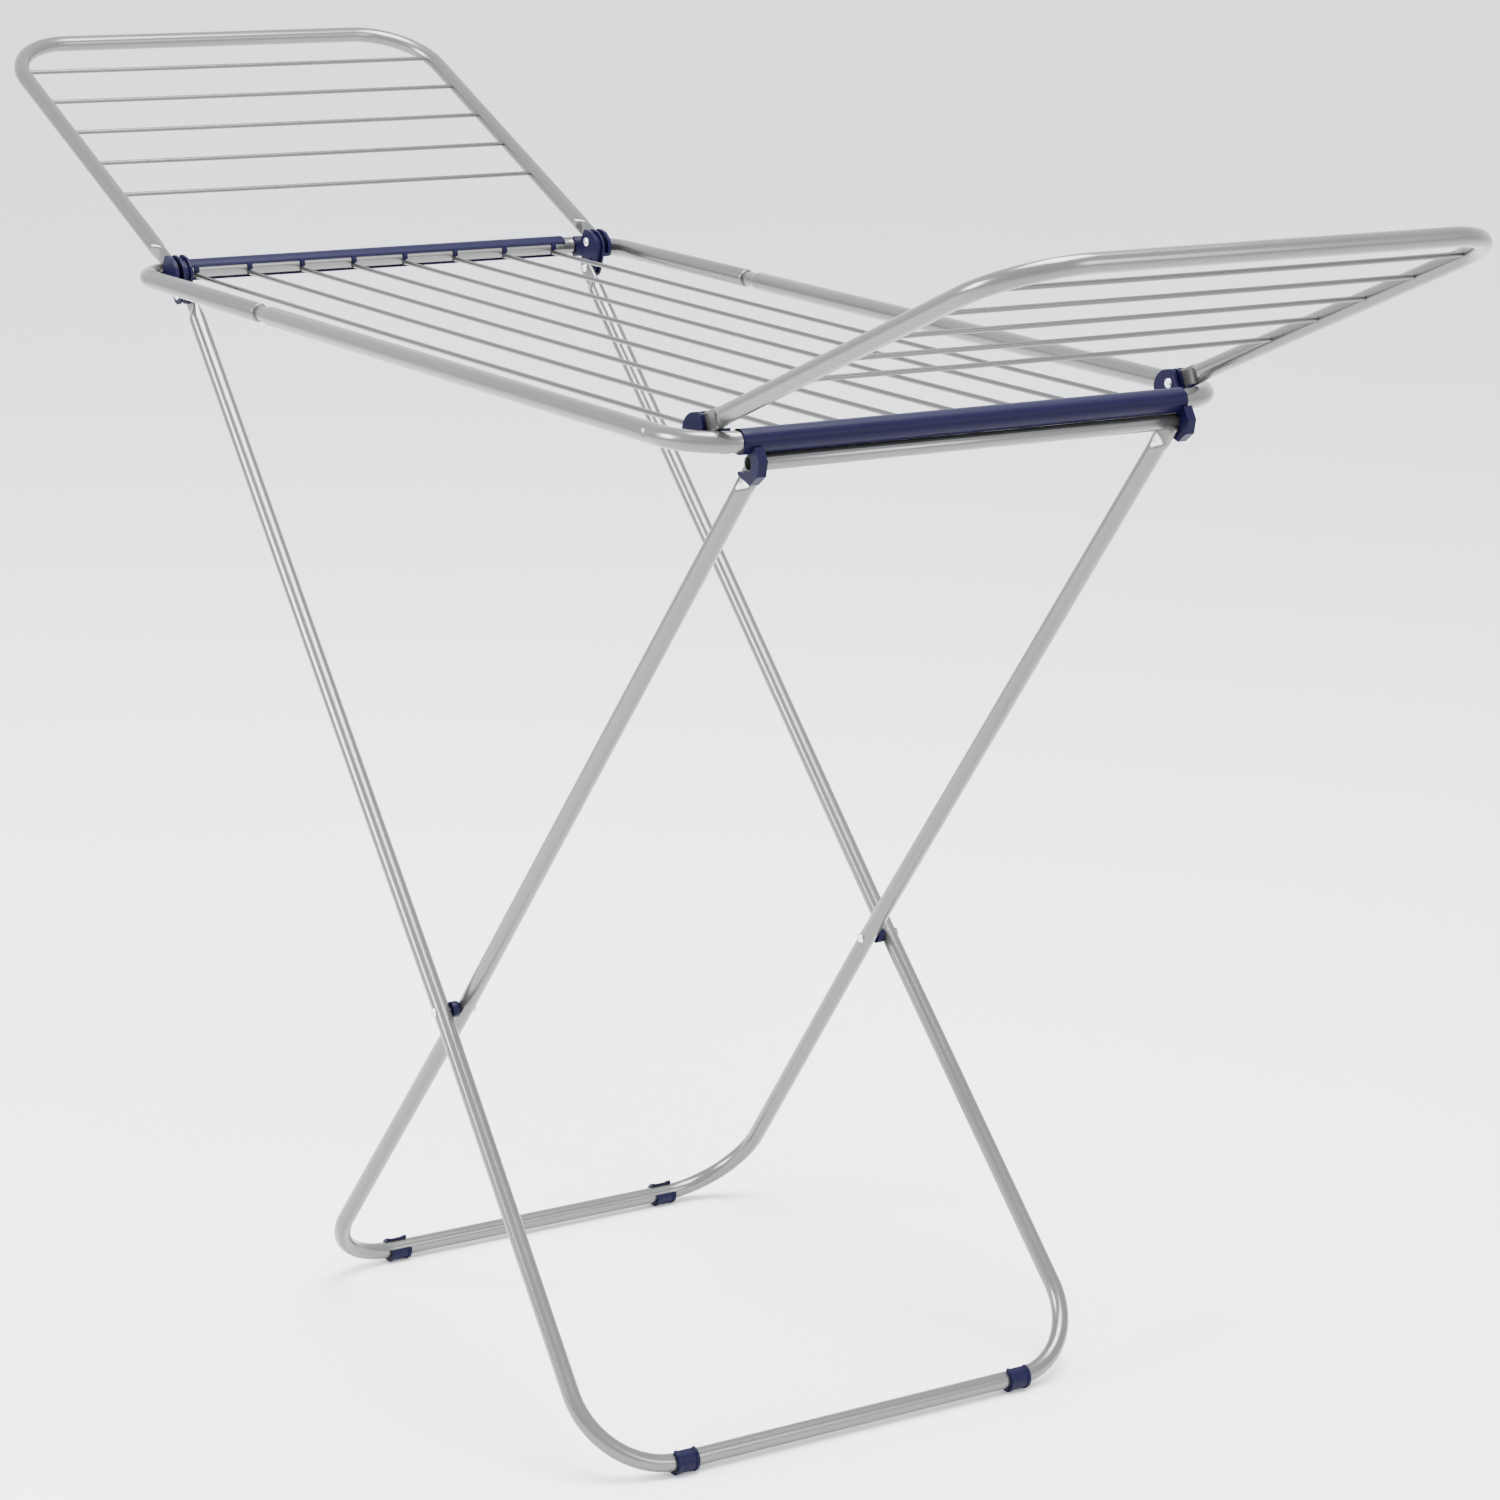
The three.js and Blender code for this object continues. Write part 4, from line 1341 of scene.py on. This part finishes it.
def inset(outline: Array, depth: float) -> Array:
    """Closed outline with every side moved inward by a depth.

    A corner moves by depth / cos(h) along the mean of its two sides' inward normals, where h is
    half the turn between them.

    Args:
        outline: Corner points.
        depth: How far the sides move.

    Returns:
        The smaller outline.
    """
    x, z = outline.T
    turn = np.sign(np.sum(x * np.roll(z, -1) - np.roll(x, -1) * z))
    side = unit(np.roll(outline, -1, axis=0) - outline)
    normal = np.stack([-side[:, 1], side[:, 0]], 1) * turn
    mean = unit(normal + np.roll(normal, 1, axis=0))
    grown = depth / np.maximum(np.sum(mean * normal, axis=1, keepdims=True), 0.5)
    return outline + mean * grown


@dataclass
class Rivets:
    """Every rivet: a shank along y with a low domed, dimpled head at each end."""

    finishes: Finishes
    sizes: RackSizes = field(default_factory=RackSizes)
    seat_depth: float = 2.2
    chamfer: float = 0.4

    def rivet(self, x: float, h: float, y0: float, y1: float) -> Shell:
        """One rivet between the inner faces of its heads.

        Args:
            x: Place along the rack.
            h: Height above the floor.
            y0: Inner face of the first head.
            y1: Inner face of the second head.

        Returns:
            The rivet.
        """
        z = self.sizes
        near = self.dome()
        under = np.array([[z.rivet_head_r, 0.0], [z.rivet_r, 0.0]])
        length = y1 - y0
        far = np.stack([near[:, 0], length - near[:, 1]], 1)[::-1]
        over = [[z.rivet_r, length], [z.rivet_head_r, length]]
        profile = np.concatenate([near, under, over, far])
        return turned(profile, np.array([x, y0, h]), ACROSS, 32)

    def headed(self, place: tuple[float, float], side: Side, inner: float, outer: float) -> Shell:
        """Wing rivet: its head lies against the inner leaf and its end sits in the outer leaf.

        Args:
            place: The pivot, (x, z).
            side: Near or far.
            inner: Inner face of the head, outward from the middle.
            outer: End of the shank.

        Returns:
            The rivet.
        """
        z = self.sizes
        length = outer - inner
        tip = [[z.rivet_r, length - self.chamfer], [z.rivet_r - self.chamfer, length]]
        profile = np.concatenate([self.dome(), [[z.rivet_head_r, 0], [z.rivet_r, 0]], tip])
        axis = np.array([0.0, float(side.value), 0.0])
        return turned(profile, np.array([place[0], side.value * inner, place[1]]), axis, 32)

    def dome(self) -> Array:
        """Half section of a head, (radius, height), from its middle to its rim.

        The height over radius r is h (1 - 0.85 (r / R)^4), with a shallow dimple in the middle.
        """
        z = self.sizes
        r = np.array([0.02, 0.5, 1.0, 1.4, 1.9, 2.6, 3.2, 3.8, 4.2, 4.45, z.rivet_head_r])
        height = z.rivet_head_h * (1 - 0.85 * (r / z.rivet_head_r) ** 4)
        return np.stack([r, 0.7 * np.exp(-((r / 1.1) ** 2)) - height], 1)

    def put(self, name: str, shell: Shell, body: str) -> None:
        """Publish one rivet."""
        publish(name, shell, body, Slot.RIVET, self.finishes, smooth_angle=50.0)

    def build(self) -> None:
        """Make the wing, leg and middle rivets."""
        z = self.sizes
        px, pz = z.wing_pivot
        for side in Side:
            for end in End:
                inner = z.bracket_inner_y(end) - z.gap
                outer = z.slot_y[1] + self.seat_depth
                shell = self.headed((end.value * px, pz), side, inner, outer)
                self.put(f"wing_rivet_{end.word}_{side.word}", shell, "rack")
            span = side.span(z.leg_tab_y - z.gap, z.slot_y[0] + z.gap)
            self.put(f"leg_rivet_{side.word}", self.rivet(*z.leg_pivot, *span), "rack")
            span = side.span(z.inner_mid_y - z.leg_r - z.gap, z.outer_mid_y + z.leg_r + z.gap)
            self.put(f"pivot_rivet_{side.word}", self.rivet(*z.mid_pivot, *span), "outer_legs")


# ---------------------------------------------------------------- studio
def placed(x: Array, y: Array, z: Array, where: Array) -> Matrix:
    """Matrix whose columns are three axes and a place."""
    rows = np.eye(4)
    rows[:3] = np.stack([x, y, z, where], 1)
    return Matrix(rows.tolist())


@dataclass
class Studio:
    """Pale floor, soft lights and the camera."""

    place: tuple[float, float, float] = (3.26281, -2.05157, 1.54971)
    yaw: float = 2.55204
    pitch: float = -0.2551
    roll: float = 0.0252
    lens: float = 101.379
    floor_half: float = 14.0
    floor_drop: float = 0.0004

    def camera(self) -> None:
        """Camera looking along f = (cos p cos y, cos p sin y, sin p), rolled about f."""
        cp, sp = math.cos(self.pitch), math.sin(self.pitch)
        forward = np.array([cp * math.cos(self.yaw), cp * math.sin(self.yaw), sp])
        right = unit(np.cross(forward, UP))
        above = np.cross(right, forward)
        c, s = math.cos(self.roll), math.sin(self.roll)
        x, y = c * right + s * above, -s * right + c * above
        data = bpy.data.cameras.new("camera")
        data.sensor_width, data.lens = 36.0, self.lens
        data.clip_start, data.clip_end = 0.05, 60.0
        camera = bpy.data.objects.new("camera", data)
        camera.matrix_world = placed(x, y, -forward, np.array(self.place))
        bpy.context.scene.collection.objects.link(camera)
        bpy.context.scene.camera = camera

    def floor(self) -> None:
        """A wide pale floor."""
        b = NodeBench("studio_floor")
        place = b.node("ShaderNodeTexCoord", {}, {}, "Object")
        cloud = b.noise(place, 0.8, 2.0)
        b.fill(Base_Color=b.mix(cloud, rgb(0.86, 0.86, 0.86), rgb(0.9, 0.9, 0.9)), Roughness=0.75)
        cells = 8
        row = cells + 1
        g = np.linspace(-self.floor_half, self.floor_half, row)
        x, y = np.meshgrid(g, g, indexing="ij")
        points = np.stack([x.ravel(), y.ravel(), np.full(x.size, -self.floor_drop)], 1)
        i, k = np.meshgrid(np.arange(cells), np.arange(cells), indexing="ij")
        at = i * row + k
        quads = np.stack([at, at + row, at + row + 1, at + 1], -1)
        mesh = bpy.data.meshes.new("studio_floor")
        mesh.from_pydata(points.tolist(), [], quads.reshape(-1, 4).tolist())
        mesh.materials.append(b.material)
        floor = bpy.data.objects.new("studio_floor", mesh)
        bpy.context.scene.collection.objects.link(floor)

    def lamp(self, name: str, where: Array, aim: Array, size: float, power: float) -> None:
        """A square soft light.

        Args:
            name: Its name.
            where: Its place, in metres.
            aim: The point it faces.
            size: Side of the square, in metres.
            power: Watts.
        """
        data = bpy.data.lights.new(name, "AREA")
        data.shape, data.size, data.energy = "SQUARE", size, power
        lamp = bpy.data.objects.new(name, data)
        back = unit(where - aim)
        side = unit(np.cross(UP, back))
        lamp.matrix_world = placed(side, np.cross(back, side), back, where)
        bpy.context.scene.collection.objects.link(lamp)

    def build(self) -> None:
        """Make the camera, floor, sky and lights."""
        self.camera()
        self.floor()
        world = bpy.data.worlds.new("studio")
        bpy.context.scene.world = world
        world.use_nodes = True
        sky = world.node_tree.nodes["Background"]
        sky.inputs["Color"].default_value = rgb(0.93, 0.95, 1.0)
        sky.inputs["Strength"].default_value = 2.3
        aim = np.array([0.0, 0.0, 0.6])
        self.lamp("soft_top", np.array([0.4, 0.2, 3.8]), aim, 2.2, 430.0)
        self.lamp("soft_left", np.array([-1.2, -3.8, 2.4]), aim, 1.7, 330.0)
        self.lamp("soft_right", np.array([3.8, 1.4, 2.0]), aim, 1.6, 80.0)


def main() -> None:
    """Build every sub-assembly in order."""
    logging.basicConfig(level=logging.INFO, format="%(message)s")
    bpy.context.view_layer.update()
    finishes = Finishes()
    RackFrame(finishes).build()
    for end in End:
        EndCover(end, finishes).build()
        for side in Side:
            Bracket(end, side, finishes).build()
        Wing(end, finishes).build()
    LegFrames(finishes).build()
    FootClips(finishes).build()
    Rivets(finishes).build()
    Studio().build()


if __name__ == "__main__":
    main()
